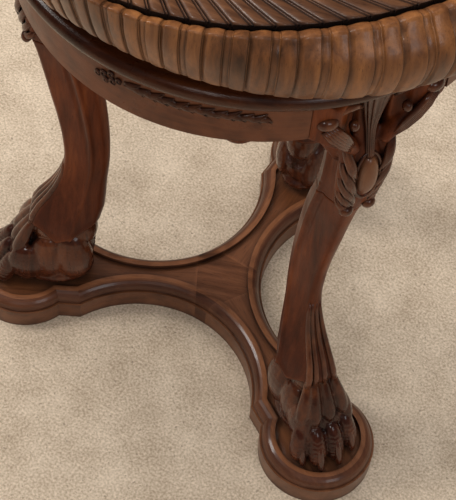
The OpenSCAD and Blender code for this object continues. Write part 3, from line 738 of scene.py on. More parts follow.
@dataclass
class Leg:
    """One carved leg with its paw, and the knee block on top of it.

    A leg is built at angle zero, so x runs out from the axis, y to the side and z up. A table of one side is
    mirrored to the other.

    Attributes:
        shop: Where finishes and pieces go.
        spot: Where the leg stands.
        foot: Lowest height of the section.
        joint: Height of the glue line between leg and knee block.
        top: Height of the round frame's underside.
        panel: Height of the platform's panel, on which the paw stands.
        heights: Heights at which the section is given.
        fronts: Distance of its front from the axis at those heights.
        backs: Distance of its back from the axis.
        halves: Half its width at the ridge.
        strips: Half the width of its front strip.
        ridge: Where the ridge runs, from the front (0) to the back (1).
        ridge_h: How far the ridge stands out.
        taper: How much narrower the back is than the ridge.
        front_round: Share of the section that rounds off its front.
        back_round: Share of the section that rounds off its back.
        cuff: Low edge of the shank: place from front to back, and height.
        cuff_swell: How much wider the shank gets at its low edge.
        inner_z: Height of the ring that closes the shank inside the paw.
        reed_z: Heights along the reeds.
        reed_spread: Height, and share of a toe's sideways place at which its reed lies.
        reed_r: Height, and radius of a reed.
        tips: Each toe's reach from the axis and its sideways place.
        long_toe: Reach of the toe for which the lobes are given.
        upper_lobe: Upper lobe of a toe: x, share of the sideways place, z, radius, share of the reach.
        lower_lobe: Lower lobe of a toe, in the same way.
        claw: A claw: x from the tip, share of the sideways place, z, radius.
        masses: The foot's middle masses: middle, radii and tilt.
        side_masses: Masses on each side of the foot: middle, radii and yaw.
        wrinkle: Height of the wrinkles above the claws.
        heel_middle: Middle of the heel.
        heel_radii: Its half lengths.
        hairs: Hairs round the heel.
        ear_r: Outer radius of the ear where it meets the rail.
        ear_in: Inner radius of the ear.
        shelf_r: Radius of the shelf under the round frame.
        cove_r: Radius at which the hollow under the ear starts.
        ear: The ear from the knee outwards: y, outer radius, upper edge, brow, cove and foot.
        arm: The arm under the ear: drum radius, y, z, thickness.
        rim: The knee's side edge: x, y, z, thickness.
        boss_middle: Middle of the boss.
        boss_radii: Its half lengths.
        ring_v: Half the width of the ring round the boss.
        ring_z: Half its height.
        ring_thick: Its thickness.
        stalk_front: Height, and distance of the stalk's front from the axis.
        stalk_half: Height, and half the stalk's width.
        stalk_flutes: Flutes round the stalk.
        leaf_low: Lowest rib of the scrolled leaf: y and z.
        leaf_high: Highest rib of the scrolled leaf: y and z.
        leaf_rib: Drum radius and thickness along a rib.
        band: Band above the leaf: drum radius, y, z, thickness.
        lobe_rows: Climbing lobes: top, its y, its x, bottom and its y.
    """

    shop: Workshop
    spot: Spot
    foot: float = 50.0
    joint: float = 281.0
    top: float = 403.0
    panel: float = 21.0
    heights: tuple[float, ...] = (50, 75, 95, 106, 117, 136, 155, 180, 204, 228, 252, 276, 285, 310, 332, 348,
                                  370, 403)
    fronts: tuple[float, ...] = (136, 141, 140.5, 136, 129.5, 121, 117, 117.4, 120.5, 124.8, 129, 133.8,
                                 136.5, 141.5, 139.5, 134, 130, 128)
    backs: tuple[float, ...] = (98, 95, 91, 88.8, 88, 87, 85.5, 85.2, 86.5, 89, 93, 99.5, 101, 103.5, 104,
                                103, 102, 101)
    halves: tuple[float, ...] = (21, 20, 18, 15.8, 13.8, 11.4, 10.4, 10.2, 10.6, 11.2, 12, 13, 13.3, 14.2,
                                 14.2, 14.0, 13.6, 13.6)
    strips: tuple[float, ...] = (12, 11.5, 10, 8.6, 7.2, 5.4, 4.4, 4.0, 4.0, 4.2, 4.6, 5.2, 5.6, 6.5, 6.8,
                                 6.6, 6.5, 6.5)
    ridge: float = 0.62
    ridge_h: float = 1.1
    taper: float = 0.52
    front_round: float = 0.07
    back_round: float = 0.16
    cuff: Table = ((0.0, 89.0), (0.06, 88.5), (0.38, 76.5), (0.85, 91.5), (1.0, 94.0))
    cuff_swell: float = 0.05
    inner_z: float = 97.0
    reed_z: tuple[float, ...] = (86, 96, 106, 113, 120, 128, 136, 145, 154)
    reed_spread: Table = ((86, 0.55), (106, 0.42), (120, 0.34), (136, 0.26), (154, 0.19))
    reed_r: Table = ((86, 2.6), (106, 2.2), (136, 1.7), (150, 1.2), (154, 0.5))
    tips: Table = ((164.7, -21.5), (173.8, -11.5), (174.5, 2.0), (168.9, 15.5))
    long_toe: float = 174.0
    upper_lobe: Table = ((138.0, 0.50, 91.0, 2.2, 0.0), (142.4, 0.60, 82.0, 3.8, 0.0),
                         (147.4, 0.72, 71.5, 4.9, 0.15), (151.8, 0.80, 61.5, 5.0, 0.35),
                         (154.6, 0.84, 54.5, 2.2, 0.5))
    lower_lobe: Table = ((153.4, 0.84, 55.5, 1.8, 0.5), (157.0, 0.88, 50.5, 5.2, 0.6),
                         (161.0, 0.93, 42.5, 6.7, 0.75), (164.4, 0.97, 34.5, 6.9, 0.9),
                         (166.9, 1.0, 28.0, 5.6, 1.0), (168.7, 1.0, 23.5, 2.6, 1.0))
    claw: Table = ((-9.4, 0.95, 47, 0.8), (-6.0, 0.97, 41, 2.2), (-3.2, 0.99, 34, 2.8), (-1.2, 1, 28, 2.5),
                   (-0.5, 1, 24.2, 1.8), (-0.9, 1, 22.3, 0.7))
    masses: tuple[tuple[Point, Point, float], ...] = (
        ((127, 0, 80), (15, 14.5, 22), 0), ((134, 0, 60), (14, 13.5, 24), -24),
        ((112, 0, 53), (15.5, 18, 26), 0), ((107, 0, 78), (13.5, 12.5, 19), 0),
        ((116, 0, 74), (15, 15.5, 16), 0), ((126, 0, 31.5), (29.5, 20, 10.5), 0),
        ((145, 0, 33), (15, 20, 12.5), 0), ((149.5, 0, 47), (8.5, 18, 14), 0))
    side_masses: tuple[tuple[Point, Point, float], ...] = (
        ((143.2, 15.2, 48), (15, 7.6, 19.5), 5), ((112.2, 10.5, 54), (16.2, 10.8, 26.5), 0),
        ((129.5, 12, 52), (14, 9.5, 25), 0))
    wrinkle: float = 0.22
    heel_middle: Point = (110.8, 0, 60)
    heel_radii: Point = (15.0, 19.5, 21.5)
    hairs: int = 48
    ear_r: float = 143.7
    ear_in: float = 126.0
    shelf_r: float = 137.0
    cove_r: float = 131.5
    ear: Table = ((13, 132, 391, 350, 336, 322), (17, 134, 391, 351, 339, 325), (21, 139, 391, 354, 344, 331),
                  (26, 142.6, 391.5, 358, 350, 339), (30, 143.7, 392.5, 361.5, 355, 346),
                  (34.6, 143.7, 397, 365.5, 360.5, 354), (39, 143.7, 403, 369, 366.5, 362.5),
                  (43.24, 143.7, 403, 372, 371.5, 371))
    arm: Table = ((137.5, 27, 366, 4.0), (136.5, 22, 361, 4.6), (135, 16.5, 353.5, 5.0),
                  (132.5, 10, 343, 5.0))
    rim: Table = ((133, 11.5, 352, 3.0), (133.5, 12.2, 338, 4.2), (133.5, 12.2, 322, 4.4),
                  (132.5, 11.2, 305, 4.0), (131.5, 9.5, 290, 2.0))
    boss_middle: Point = (138.2, 0, 319.5)
    boss_radii: Point = (6.6, 7.0, 17.0)
    ring_v: float = 8.6
    ring_z: float = 18.8
    ring_thick: float = 1.25
    stalk_front: Table = ((336, 140.2), (346, 138.2), (356, 136.6), (370, 137.2), (386, 139.0),
                          (403, 143.2))
    stalk_half: Table = ((336, 2.5), (350, 2.7), (356, 3.1), (364, 4.4), (370, 5.6), (378, 7.4),
                         (386, 9.4), (395, 12.2), (403, 15.2))
    stalk_flutes: int = 14
    leaf_low: Table = ((35.6, 377.0), (31, 369.6), (25.5, 362.2), (19.5, 354.8), (14.5, 348.0))
    leaf_high: Table = ((30.5, 380.5), (26.5, 375.4), (21.8, 369.0), (17.0, 361.0), (12.8, 351.5))
    leaf_rib: Table = ((144.2, 1.3), (144.3, 1.75), (143.4, 1.8), (141.6, 1.5), (139.2, 0.7))
    band: Table = ((141.6, 31, 384.5, 1.8), (140.6, 26, 387, 2.3), (139.6, 20.5, 387.5, 2.4),
                   (138, 15, 385.5, 2.0), (136, 10, 381, 1.0))
    lobe_rows: Table = ((347, 14.4, 135.6, 322, 9.5), (334, 14.8, 135.8, 307, 8.0),
                        (321, 14.2, 135.0, 295, 5.5), (308, 13.0, 133.6, 287, 4.5),
                        (297, 11.4, 132.4, 284, 5.5))

    def section(self, z: np.ndarray, count: int = 56) -> np.ndarray:
        """Gives the outline of the leg at each height.

        Args:
            z: Heights in millimetres.
            count: Points round the leg.

        Returns:
            Array of heights x points x 3.
        """
        front, back = curve(self.heights, self.fronts, z), curve(self.heights, self.backs, z)
        half, strip = curve(self.heights, self.halves, z), curve(self.heights, self.strips, z)
        turn = np.linspace(0, 2 * np.pi, count, endpoint=False)
        f = (1 - np.cos(turn)) / 2
        f = 0.5 * f + 0.5 * (np.arccos(np.clip(1 - 2 * f, -1, 1)) / np.pi)
        sign = np.sign(np.sin(turn))
        fore = np.clip(f / self.ridge, 0, 1)
        aft = np.clip((f - self.ridge) / (1 - self.ridge), 0, 1)
        wide = strip[:, None] + (half - strip)[:, None] * fore - half[:, None] * self.taper * aft
        closing = rounding(f / self.front_round) * rounding((1 - f) / self.back_round)
        line = bump(f, self.ridge, 0.055)
        ditch = bump(f, self.ridge - 0.10, 0.06) * np.clip((z - 170) / 60, 0, 1)[:, None]
        wide = wide * closing + self.ridge_h * line - ditch
        u = front[:, None] + (back - front)[:, None] * f
        return np.stack([u, wide * sign, np.repeat(z[:, None], count, axis=1)], axis=-1)

    def shank(self) -> Shape:
        """Builds the leg above the paw; its foot ends in a pointed cuff on each side.

        Returns:
            The closed shank.
        """
        count = 72
        turn = np.linspace(0, 2 * np.pi, count, endpoint=False)
        place, edge_z = np.array(self.cuff).T
        low = np.interp((1 - np.cos(turn)) / 2, place, edge_z)
        flat = np.linspace(self.foot, self.joint, 320)
        rings = self.section(flat, count)
        share = np.linspace(0, 1, 116)
        z = low + (self.joint - low) * share[:, None]
        rows = np.empty((len(share), count, 3))
        for k in range(count):
            for axis in range(3):
                rows[:, k, axis] = np.interp(z[:, k], flat, rings[:, k, axis])
        middle = rows.mean(axis=1, keepdims=True)
        rows[..., 1] *= 1 + self.cuff_swell * bump(share, 0.0, 0.035)[:, None]
        rows[-1] = middle[-1] + (rows[-1] - middle[-1]) * 0.985
        inside = middle[0] + (rows[0] - middle[0]) * 0.45
        inside[:, 2] = self.inner_z
        return Shape.solid(np.concatenate([inside[None], rows]))

    def reeds(self) -> Shape:
        """Builds the reeds that run from the toes up the front of the leg.

        Returns:
            The reeds, one above each toe.
        """
        z = np.array(self.reed_z, float)
        front = curve(self.heights, self.fronts, z)
        spread = np.interp(z, *zip(*self.reed_spread))
        radii = np.interp(z, *zip(*self.reed_r))
        return Shape.joined([tube(np.stack([front - 0.7 - 0.02 * np.abs(v), v * spread, z], axis=-1), radii)
                             for _, v in self.tips])

    def toes(self) -> list[Shape]:
        """Builds four toes: a long upper lobe, a notch and a rounded lower lobe.

        Returns:
            The lobes of all toes.
        """
        shapes: list[Shape] = []
        for reach, v in self.tips:
            back = reach - self.long_toe
            for lobe in (self.upper_lobe, self.lower_lobe):
                line = flowing([(x + back * follow, v * out, z, r) for x, out, z, r, follow in lobe], 22)
                shapes.append(tube(line[:, :3], line[:, 3], 18, 1.02))
        return shapes

    def pads(self) -> list[Shape]:
        """Builds the mass of the foot: the ankle, the balls on each side and the sole.

        Returns:
            The masses, still apart.
        """
        shapes = [bead(middle, radii, tilt) for middle, radii, tilt in self.masses]
        shapes += [bead((x, side * y, z), radii, 0, side * yaw)
                   for side in SIDES for (x, y, z), radii, yaw in self.side_masses]
        return shapes

    def paw_relief(self, points: np.ndarray) -> np.ndarray:
        """Cuts fine wrinkles across the toes above the claws.

        Args:
            points: Points of the foot, in millimetres.

        Returns:
            The lift of each point.
        """
        wave = np.cos(points[:, 2] * 1.9 + 0.8 * np.sin(points[:, 1] * 1.4))
        where = bump(points[:, 2], 38, 16) * np.clip((points[:, 0] - 156) / 5, 0, 1)
        return self.wrinkle * wave * where

    def paw(self) -> Shape:
        """Melts the toes and pads into one foot that stands on the panel.

        Returns:
            The foot.
        """
        foot = Shape.joined(self.toes() + self.pads()).fused(0.8, 1, self.paw_relief)
        foot.points[:, 2] = np.maximum(foot.points[:, 2], self.panel + 0.02)
        return foot

    def claws(self) -> Shape:
        """Builds the claws that come out of the toes.

        Returns:
            The four claws.
        """
        shapes: list[Shape] = []
        for reach, v in self.tips:
            line = flowing([(reach + x, v * out, z, r) for x, out, z, r in self.claw], 22)
            shapes.append(tube(line[:, :3], line[:, 3], 16))
        return Shape.joined(shapes)

    def heel(self) -> Shape:
        """Builds the rounded heel with fine hairs that fan out from its middle.

        Returns:
            The heel.
        """
        lat = np.linspace(-0.5, 0.5, 40)[1:-1, None] * np.pi
        lon = np.linspace(0, 2 * np.pi, 6 * self.hairs, endpoint=False)
        hair = 1 + 0.016 * np.cos(lon * self.hairs) * np.clip(-1.6 * np.sin(lat) - 0.3, 0, 1)
        ring = np.stack([np.repeat(np.sin(lat), len(lon), axis=1), np.cos(lat) * np.cos(lon),
                         np.cos(lat) * np.sin(lon)], axis=-1)
        return Shape.solid(ring * hair[..., None] * np.array(self.heel_radii) + np.array(self.heel_middle))

    def on_drum(self, radius: float | np.ndarray, v: Sequence[float], z: Sequence[float]) -> np.ndarray:
        """Lays points on a drum round the stool's axis.

        Args:
            radius: Radius of the drum, or one radius for each point.
            v: Sideways place of each point.
            z: Height of each point.

        Returns:
            Array of points x 3.
        """
        v, z = np.asarray(v, float), np.asarray(z, float)
        return np.stack([np.sqrt(np.square(radius) - v * v), v, z], axis=-1)

    def strand(self, rows: Table, side: int, squash: float) -> Shape:
        """Runs a strand over the drum on one side of the knee.

        Args:
            rows: Drum radius, sideways place, height and thickness at each point.
            side: One side of the knee, or minus one for the other.
            squash: Thickness over width.

        Returns:
            The closed strand.
        """
        radius, v, z, thick = np.array(rows, float).T
        return tube(self.on_drum(radius, side * v, z), thick, 14, squash, UP)

    def ear_plate(self, side: int) -> Shape:
        """Builds the plate that joins the knee to a rail, hollowed under the round frame.

        Args:
            side: One side of the knee, or minus one for the other.

        Returns:
            The closed plate and the shelf behind it.
        """
        v, face, high, brow, cove, foot = np.array(self.ear, float).T
        v = side * v
        inner = np.full_like(v, self.ear_in)
        plates = []
        for outer, edge in ((face, high), (np.minimum(face, self.shelf_r), np.full_like(v, self.top))):
            hollow = np.minimum(outer, self.cove_r)
            corners = ((outer, brow), (outer, edge), (inner, edge), (inner, foot), (hollow, cove))
            rows = [self.on_drum(radius, v * radius / self.ear_r, height) for radius, height in corners]
            plates.append(Shape.solid(np.stack(rows, axis=1)))
        return Shape.joined(plates)

    def knee_core(self) -> Shape:
        """Melts the knee block, its two ears and the arms that carry them into one.

        Returns:
            The knee block.
        """
        shapes = [Shape.solid(self.section(np.linspace(self.joint, self.top, 60), 64))]
        over = np.linspace(-21, 21, 15)
        corners = ((self.shelf_r, 388), (self.shelf_r, self.top), (127, self.top), (127, 388))
        rows = [self.on_drum(radius, over * radius / self.ear_r, np.full_like(over, height))
                for radius, height in corners]
        shapes.append(Shape.solid(np.stack(rows, axis=1)))
        for side in SIDES:
            shapes.append(self.ear_plate(side))
            shapes.append(self.strand(self.arm, side, 1.3))
            rim = np.array(self.rim)
            shapes.append(tube(rim[:, :3] * (1, side, 1), rim[:, 3]))
        solid = Shape.joined(shapes).fused(1.1, 2)
        solid.points[:, 2] = np.clip(solid.points[:, 2], self.joint + 0.1, self.top - 0.02)
        return solid

    def knee_leaves(self) -> Shape:
        """Builds the carving of the knee: stalk, ring, scrolled leaves and climbing lobes.

        Returns:
            All of it in one mesh.
        """
        turn = np.linspace(0, 2 * np.pi, 41)[:-1, None]
        v, z = self.ring_v * np.cos(turn), self.boss_middle[2] + self.ring_z * np.sin(turn)
        front = curve(self.heights, self.fronts, z) - 0.4 - 0.02 * v * v
        circle = np.linspace(0, 2 * np.pi, 10, endpoint=False)
        swell = np.stack([np.sin(circle) * np.ones_like(turn), np.cos(circle) * np.cos(turn),
                          np.cos(circle) * np.sin(turn)], axis=-1)
        ring = np.stack([front, v, z], axis=-1) + self.ring_thick * swell
        shapes = [self.stalk(), Shape.grid(ring, closed_rows=True, closed_columns=True)]
        for side in SIDES:
            shapes += self.scroll(side)
            shapes += self.lobes(side)
        return Shape.joined(shapes)

    def boss(self) -> Shape:
        """Builds the smooth oval boss in the middle of the knee."""
        return bead(self.boss_middle, self.boss_radii)

    def stalk(self) -> Shape:
        """Builds the fluted trumpet that widens towards the frame.

        Returns:
            The closed stalk.
        """
        z = np.linspace(self.stalk_front[0][0], self.top - 0.3, 40)[:, None]
        front, half = curve(*zip(*self.stalk_front), z), curve(*zip(*self.stalk_half), z)
        turn = np.linspace(0, 2 * np.pi, 72, endpoint=False)
        flute = 1 + 0.085 * np.cos(turn * self.stalk_flutes)
        deep = np.minimum(half, 5.0)
        x, y = front - deep + deep * (flute * np.cos(turn)), half * (flute * np.sin(turn))
        return Shape.solid(np.stack([x, y, np.repeat(z, len(turn), axis=1)], axis=-1))

    def scroll(self, side: int) -> list[Shape]:
        """Builds the leaf that rolls over beside the stalk.

        Args:
            side: One side of the knee, or minus one for the other.

        Returns:
            Its ribs, its upper band and its two knobs.
        """
        shapes: list[Shape] = []
        low, high = np.array(self.leaf_low), np.array(self.leaf_high)
        drum, thick = np.array(self.leaf_rib).T
        for share in np.linspace(0, 1, 5):
            row = low * (1 - share) + high * share
            path = self.on_drum(drum, side * row[:, 0], row[:, 1])
            shapes.append(tube(path, thick, 12, 1.15, UP))
        shapes.append(self.strand(self.band, side, 0.8))
        knob = self.on_drum(141.0, [side * 16.6], [373.6])[0]
        shapes.append(bead(knob, (3.2, 3.0, 3.8)))
        cap = self.on_drum(142.4, [side * 33.4], [382.6])[0]
        shapes.append(bead(cap, (4.6, 6.4, 4.8), 0, side * 13))
        return shapes

    def lobes(self, side: int) -> list[Shape]:
        """Builds the lobes that run from the side of the knee down to its middle and end in a curl.

        Args:
            side: One side of the knee, or minus one for the other.

        Returns:
            The lobes with their veins, and the curl.
        """
        shapes: list[Shape] = []
        vein_r = np.interp(np.linspace(0.5, 3.5, 13), (0, 2, 4), (0.5, 1.0, 0.4))
        for top, out, deep, bottom, near in self.lobe_rows:
            front = float(curve(self.heights, self.fronts, np.array([float(bottom)]))[0])
            middle = ((deep + front) / 2 + 1.2, side * (out * 0.55 + near * 0.45),
                      (top + bottom) / 2 - 1, 3.2)
            line = flowing([(deep - 3.0, side * (out - 1.5), top + 2.0, 1.0),
                            (deep, side * out, top - 3.5, 2.6), middle,
                            (front - 1.4, side * near, bottom + 3.0, 2.3),
                            (front - 2.0, side * near * 0.6, bottom - 4.0, 0.4)], 17)
            shapes.append(tube(line[:, :3], line[:, 3], 14, 0.8))
            for shift in (-1.5, 1.3):
                vein = line[2:-2, :3] + np.array([1.3, side * 0.9, shift])
                shapes.append(tube(vein, vein_r, 8))
        shapes.append(bead((136.6, side * 7.5, 286.6), (3.6, 4.4, 4.0)))
        return shapes

    def build(self) -> None:
        """Adds the leg, its foot, its knee block and their carving."""
        key = self.spot.name.lower()
        # Painted shade darkens the plain wood low on the leg with a cool tint; painted light brightens the
        # carving higher up.
        plain = WoodFinish(f"leg_walnut_{key}", *WALNUT, shine=0.14, coat=0.03,
                           light_by_height=(0.150, 0.098, (0.52, 0.50, 0.70)))
        cut = WoodFinish("carved_walnut", *CARVED_WOOD, dirt_and_shade=0.95, wear=0.45, gloss=0.22, reach=0.009,
                         coat=0.45, shine=0.16, light_by_height=(0.056, 0.088, (1.25, 1.35, 1.1)))
        sharp = WoodFinish("claw_walnut", *CARVED_WOOD, dirt_and_shade=0.8, wear=0.3, gloss=0.18, coat=0.7, shine=0.3)
        rubbed = WoodFinish("rubbed_walnut", *BOSS_WOOD, gloss=0.3, coat=0.3)
        leg, knee = [f"leg_{key}"], [f"knee_{key}_block"]
        for name, shape, maker, stands_for in (
                ("shank", self.shank(), plain, leg), ("paw", self.paw(), cut, leg),
                ("claws", self.claws(), sharp, leg), ("boss", self.boss(), rubbed, []),
                ("reeds", self.reeds(), cut, leg), ("heel", self.heel(), cut, leg),
                ("knee", self.knee_core(), plain, knee), ("knee_leaves", self.knee_leaves(), cut, knee)):
            self.shop.piece(f"{name}_{key}", shape.turned(self.spot.value), maker, "frame", "carved_walnut",
                            stands_for)


@dataclass
class RoundFrame:
    """The beaded round frame, its rails, the blocks inside and the turned pendant.

    Attributes:
        shop: Where finishes and pieces go.
        rail_r: Radius of the rails' outer face.
        rails: Each rail with the direction of its middle in degrees.
        curls: Curls of the rosette: degrees from the rail's middle, height, size.
        run: Degrees from the rail's middle at which each pair of leaves starts.
        upper_z: Height of the leaves above the stem.
        lower_z: Height of the leaves below the stem.
        stem_z: Height of the stem.
        rail_edge: Width of the rails' softened edges.
        block_edge: Width of the glue blocks' softened edges.
    """

    shop: Workshop
    rail_r: float = 144.0
    rails: tuple[tuple[str, float], ...] = (("front", 270.0), ("back_left", 150.0), ("back_right", 30.0))
    curls: Table = ((-3.2, 390.6, 2.4), (-1.3, 393.0, 2.2), (-0.9, 388.2, 2.3), (-4.8, 388.6, 1.9),
                    (0.6, 390.6, 1.9), (-2.6, 386.6, 1.7))
    run: tuple[float, ...] = (3.4, 6.0, 8.9, 11.4, 14.4, 17.2, 19.8, 22.8, 25.4, 28.3, 30.8)
    upper_z: float = 392.9
    lower_z: float = 389.6
    stem_z: float = 391.4
    rail_edge: float = 0.6
    block_edge: float = 0.5

    def leaf(self, swing: float, z: float, length: float, tilt: float) -> list[Shape]:
        """Builds one pointed leaf that lies on the rail, with its midrib.

        Args:
            swing: Place round the rail in degrees from its middle.
            z: Height of its middle.
            length: Its length in degrees of the rail.
            tilt: Its slope in degrees.

        Returns:
            The leaf and its midrib.
        """
        t = np.linspace(-0.5, 0.5, 15)
        rise = math.tan(math.radians(tilt)) * length * 2.5
        height = z + rise * t - 1.2 * np.cos(t * np.pi) * np.sign(tilt)
        shapes = []
        for lift, wide, thick in ((0.3, 2.2, 0.6), (1.3, 0.5, 0.9)):
            path = around(np.radians(swing + t * length), self.rail_r + lift, height)
            width = wide * np.clip(np.cos(t * np.pi) ** 0.7 * (1.15 - 0.6 * t), 0.08, None)
            shapes.append(tube(path, width, 12, thick, UP))
        return shapes

    def foliage(self) -> Shape:
        """Builds the carved spray on a rail: a rosette of curls and a leafy stem.

        Returns:
            The spray for a rail whose middle lies at angle zero.
        """
        shapes: list[Shape] = []
        circle = np.linspace(0, 1.7 * np.pi, 20)
        for swing, z, size in self.curls:
            reach = size * (0.45 + 0.55 * circle / circle[-1])
            turn = math.radians(swing) + reach * np.cos(circle) / self.rail_r
            path = around(turn, self.rail_r + 0.5, z + reach * np.sin(circle))
            shapes.append(tube(path, np.linspace(1.0, 0.55, 20), 10, 1.0, OUT))
        for k, swing in enumerate(self.run):
            odd, third = k % 2, k % 3
            upper = self.upper_z - 0.5 * (third == 1)
            shapes += self.leaf(swing + 0.5, upper, 3.9 - 0.5 * odd, 25.0 + 4 * third)
            shapes += self.leaf(swing + 1.8, self.lower_z + 0.4 * odd, 3.6 + 0.4 * odd, -20.0 - 5 * odd)
        turn = np.radians(np.linspace(2.0, 33.0, 50))
        stem = around(turn, self.rail_r + 0.1, self.stem_z + np.sin(turn * 16))
        shapes.append(tube(stem, np.full(50, 0.75), 10))
        return Shape.joined(shapes)

    def build(self) -> None:
        """Dresses the frame, the rails, the blocks and the pendant."""
        # Painted shade: the frame and the spray on its rails take tones darkened for the seat's shadow.
        ring = WoodFinish("ring_walnut", *RING_WOOD_AND_SHADE, Grain.LEVEL, 15.0, gloss=0.24, coat=0.14, reach=0.014,
                          shine=0.22)
        rail = WoodFinish("rail_walnut", *RAIL_WOOD, Grain.ROUND, gloss=0.32, shine=0.22)
        carved = WoodFinish("foliage_walnut", *RING_WOOD_AND_SHADE, dirt_and_shade=0.95, wear=0.6, gloss=0.3, reach=0.005,
                            shine=0.25)
        self.shop.dress("top_frame", ring)
        for name, middle in self.rails:
            self.shop.dress(f"rail_{name}", rail, self.rail_edge)
            spray = self.foliage().turned(middle)
            self.shop.piece(f"foliage_{name}", spray, carved, "frame", "carved_walnut")
        self.shop.dress("pendant", WoodFinish("turned_walnut", *WALNUT))
        for spot in Spot:
            self.shop.dress(f"corner_block_{spot.name.lower()}", beech("block_beech"), self.block_edge)
        for name in ("knee_dowels", "rail_dowels"):
            self.shop.dress(name, beech("dowel_beech"))


@dataclass
class Ironwork:
    """The nut, the screw, the stop, the seat plate, the wood screws and the washer.

    Attributes:
        shop: Where finishes and pieces go.
        washer_z: Height of the washer's underside.
        washer_t: Its thickness.
        washer_r: Its radius.
        hole_r: Radius of its hole.
        iron_edge: Width of the softened edges of nut and plate.
    """

    shop: Workshop
    washer_z: float = 423.3
    washer_t: float = 3.0
    washer_r: float = 20.0
    hole_r: float = 11.6
    iron_edge: float = 0.4

    def washer(self) -> Shape:
        """Builds the leather washer with a pressed middle and a slightly uneven rim.

        Returns:
            The washer.
        """
        turn = np.linspace(0, 2 * np.pi, 120, endpoint=False)
        hole, rim = self.hole_r, self.washer_r
        low, top = self.washer_z, self.washer_z + self.washer_t
        profile = ((hole, low + 0.4), (hole + 0.5, low), (rim - 0.9, low), (rim - 0.1, low + 0.9),
                   (rim - 0.1, top - 0.9), (rim - 0.9, top - 0.1), (rim - 4.0, top - 0.05),
                   (hole + 2.0, top - 0.35), (hole, top - 0.7))
        wave = 0.12 * np.sin(turn * 5) + 0.08 * np.sin(turn * 11 + 1)
        rows = [around(turn, r + wave * (r > rim - 2), z) for r, z in profile]
        return Shape.grid(np.stack(rows), closed_rows=True, closed_columns=True)

    def build(self) -> None:
        """Dresses the ironwork and adds the washer."""
        black = MetalFinish("black_iron", (0.035, 0.033, 0.034), (0.075, 0.038, 0.022), 0.55, 0.55)
        worn = MetalFinish("worn_iron", (0.19, 0.175, 0.16), (0.11, 0.065, 0.04), 0.9, 0.38)
        screw = MetalFinish("screw_steel", (0.25, 0.24, 0.22), (0.13, 0.085, 0.055), 0.9, 0.42)
        for name in ("screw_nut", "seat_plate"):
            self.shop.dress(name, black, self.iron_edge)
        for name in ("spindle", "stop_collar", "stop_pin"):
            self.shop.dress(name, worn)
        for held in ("leg", "corner_block", "pendant", "nut", "plate", "board"):
            self.shop.dress(f"{held}_screws", screw)
        self.shop.piece("washer", self.washer(), LeatherFinish(), "washer", "oiled_leather",
                        ["leather_washer"])


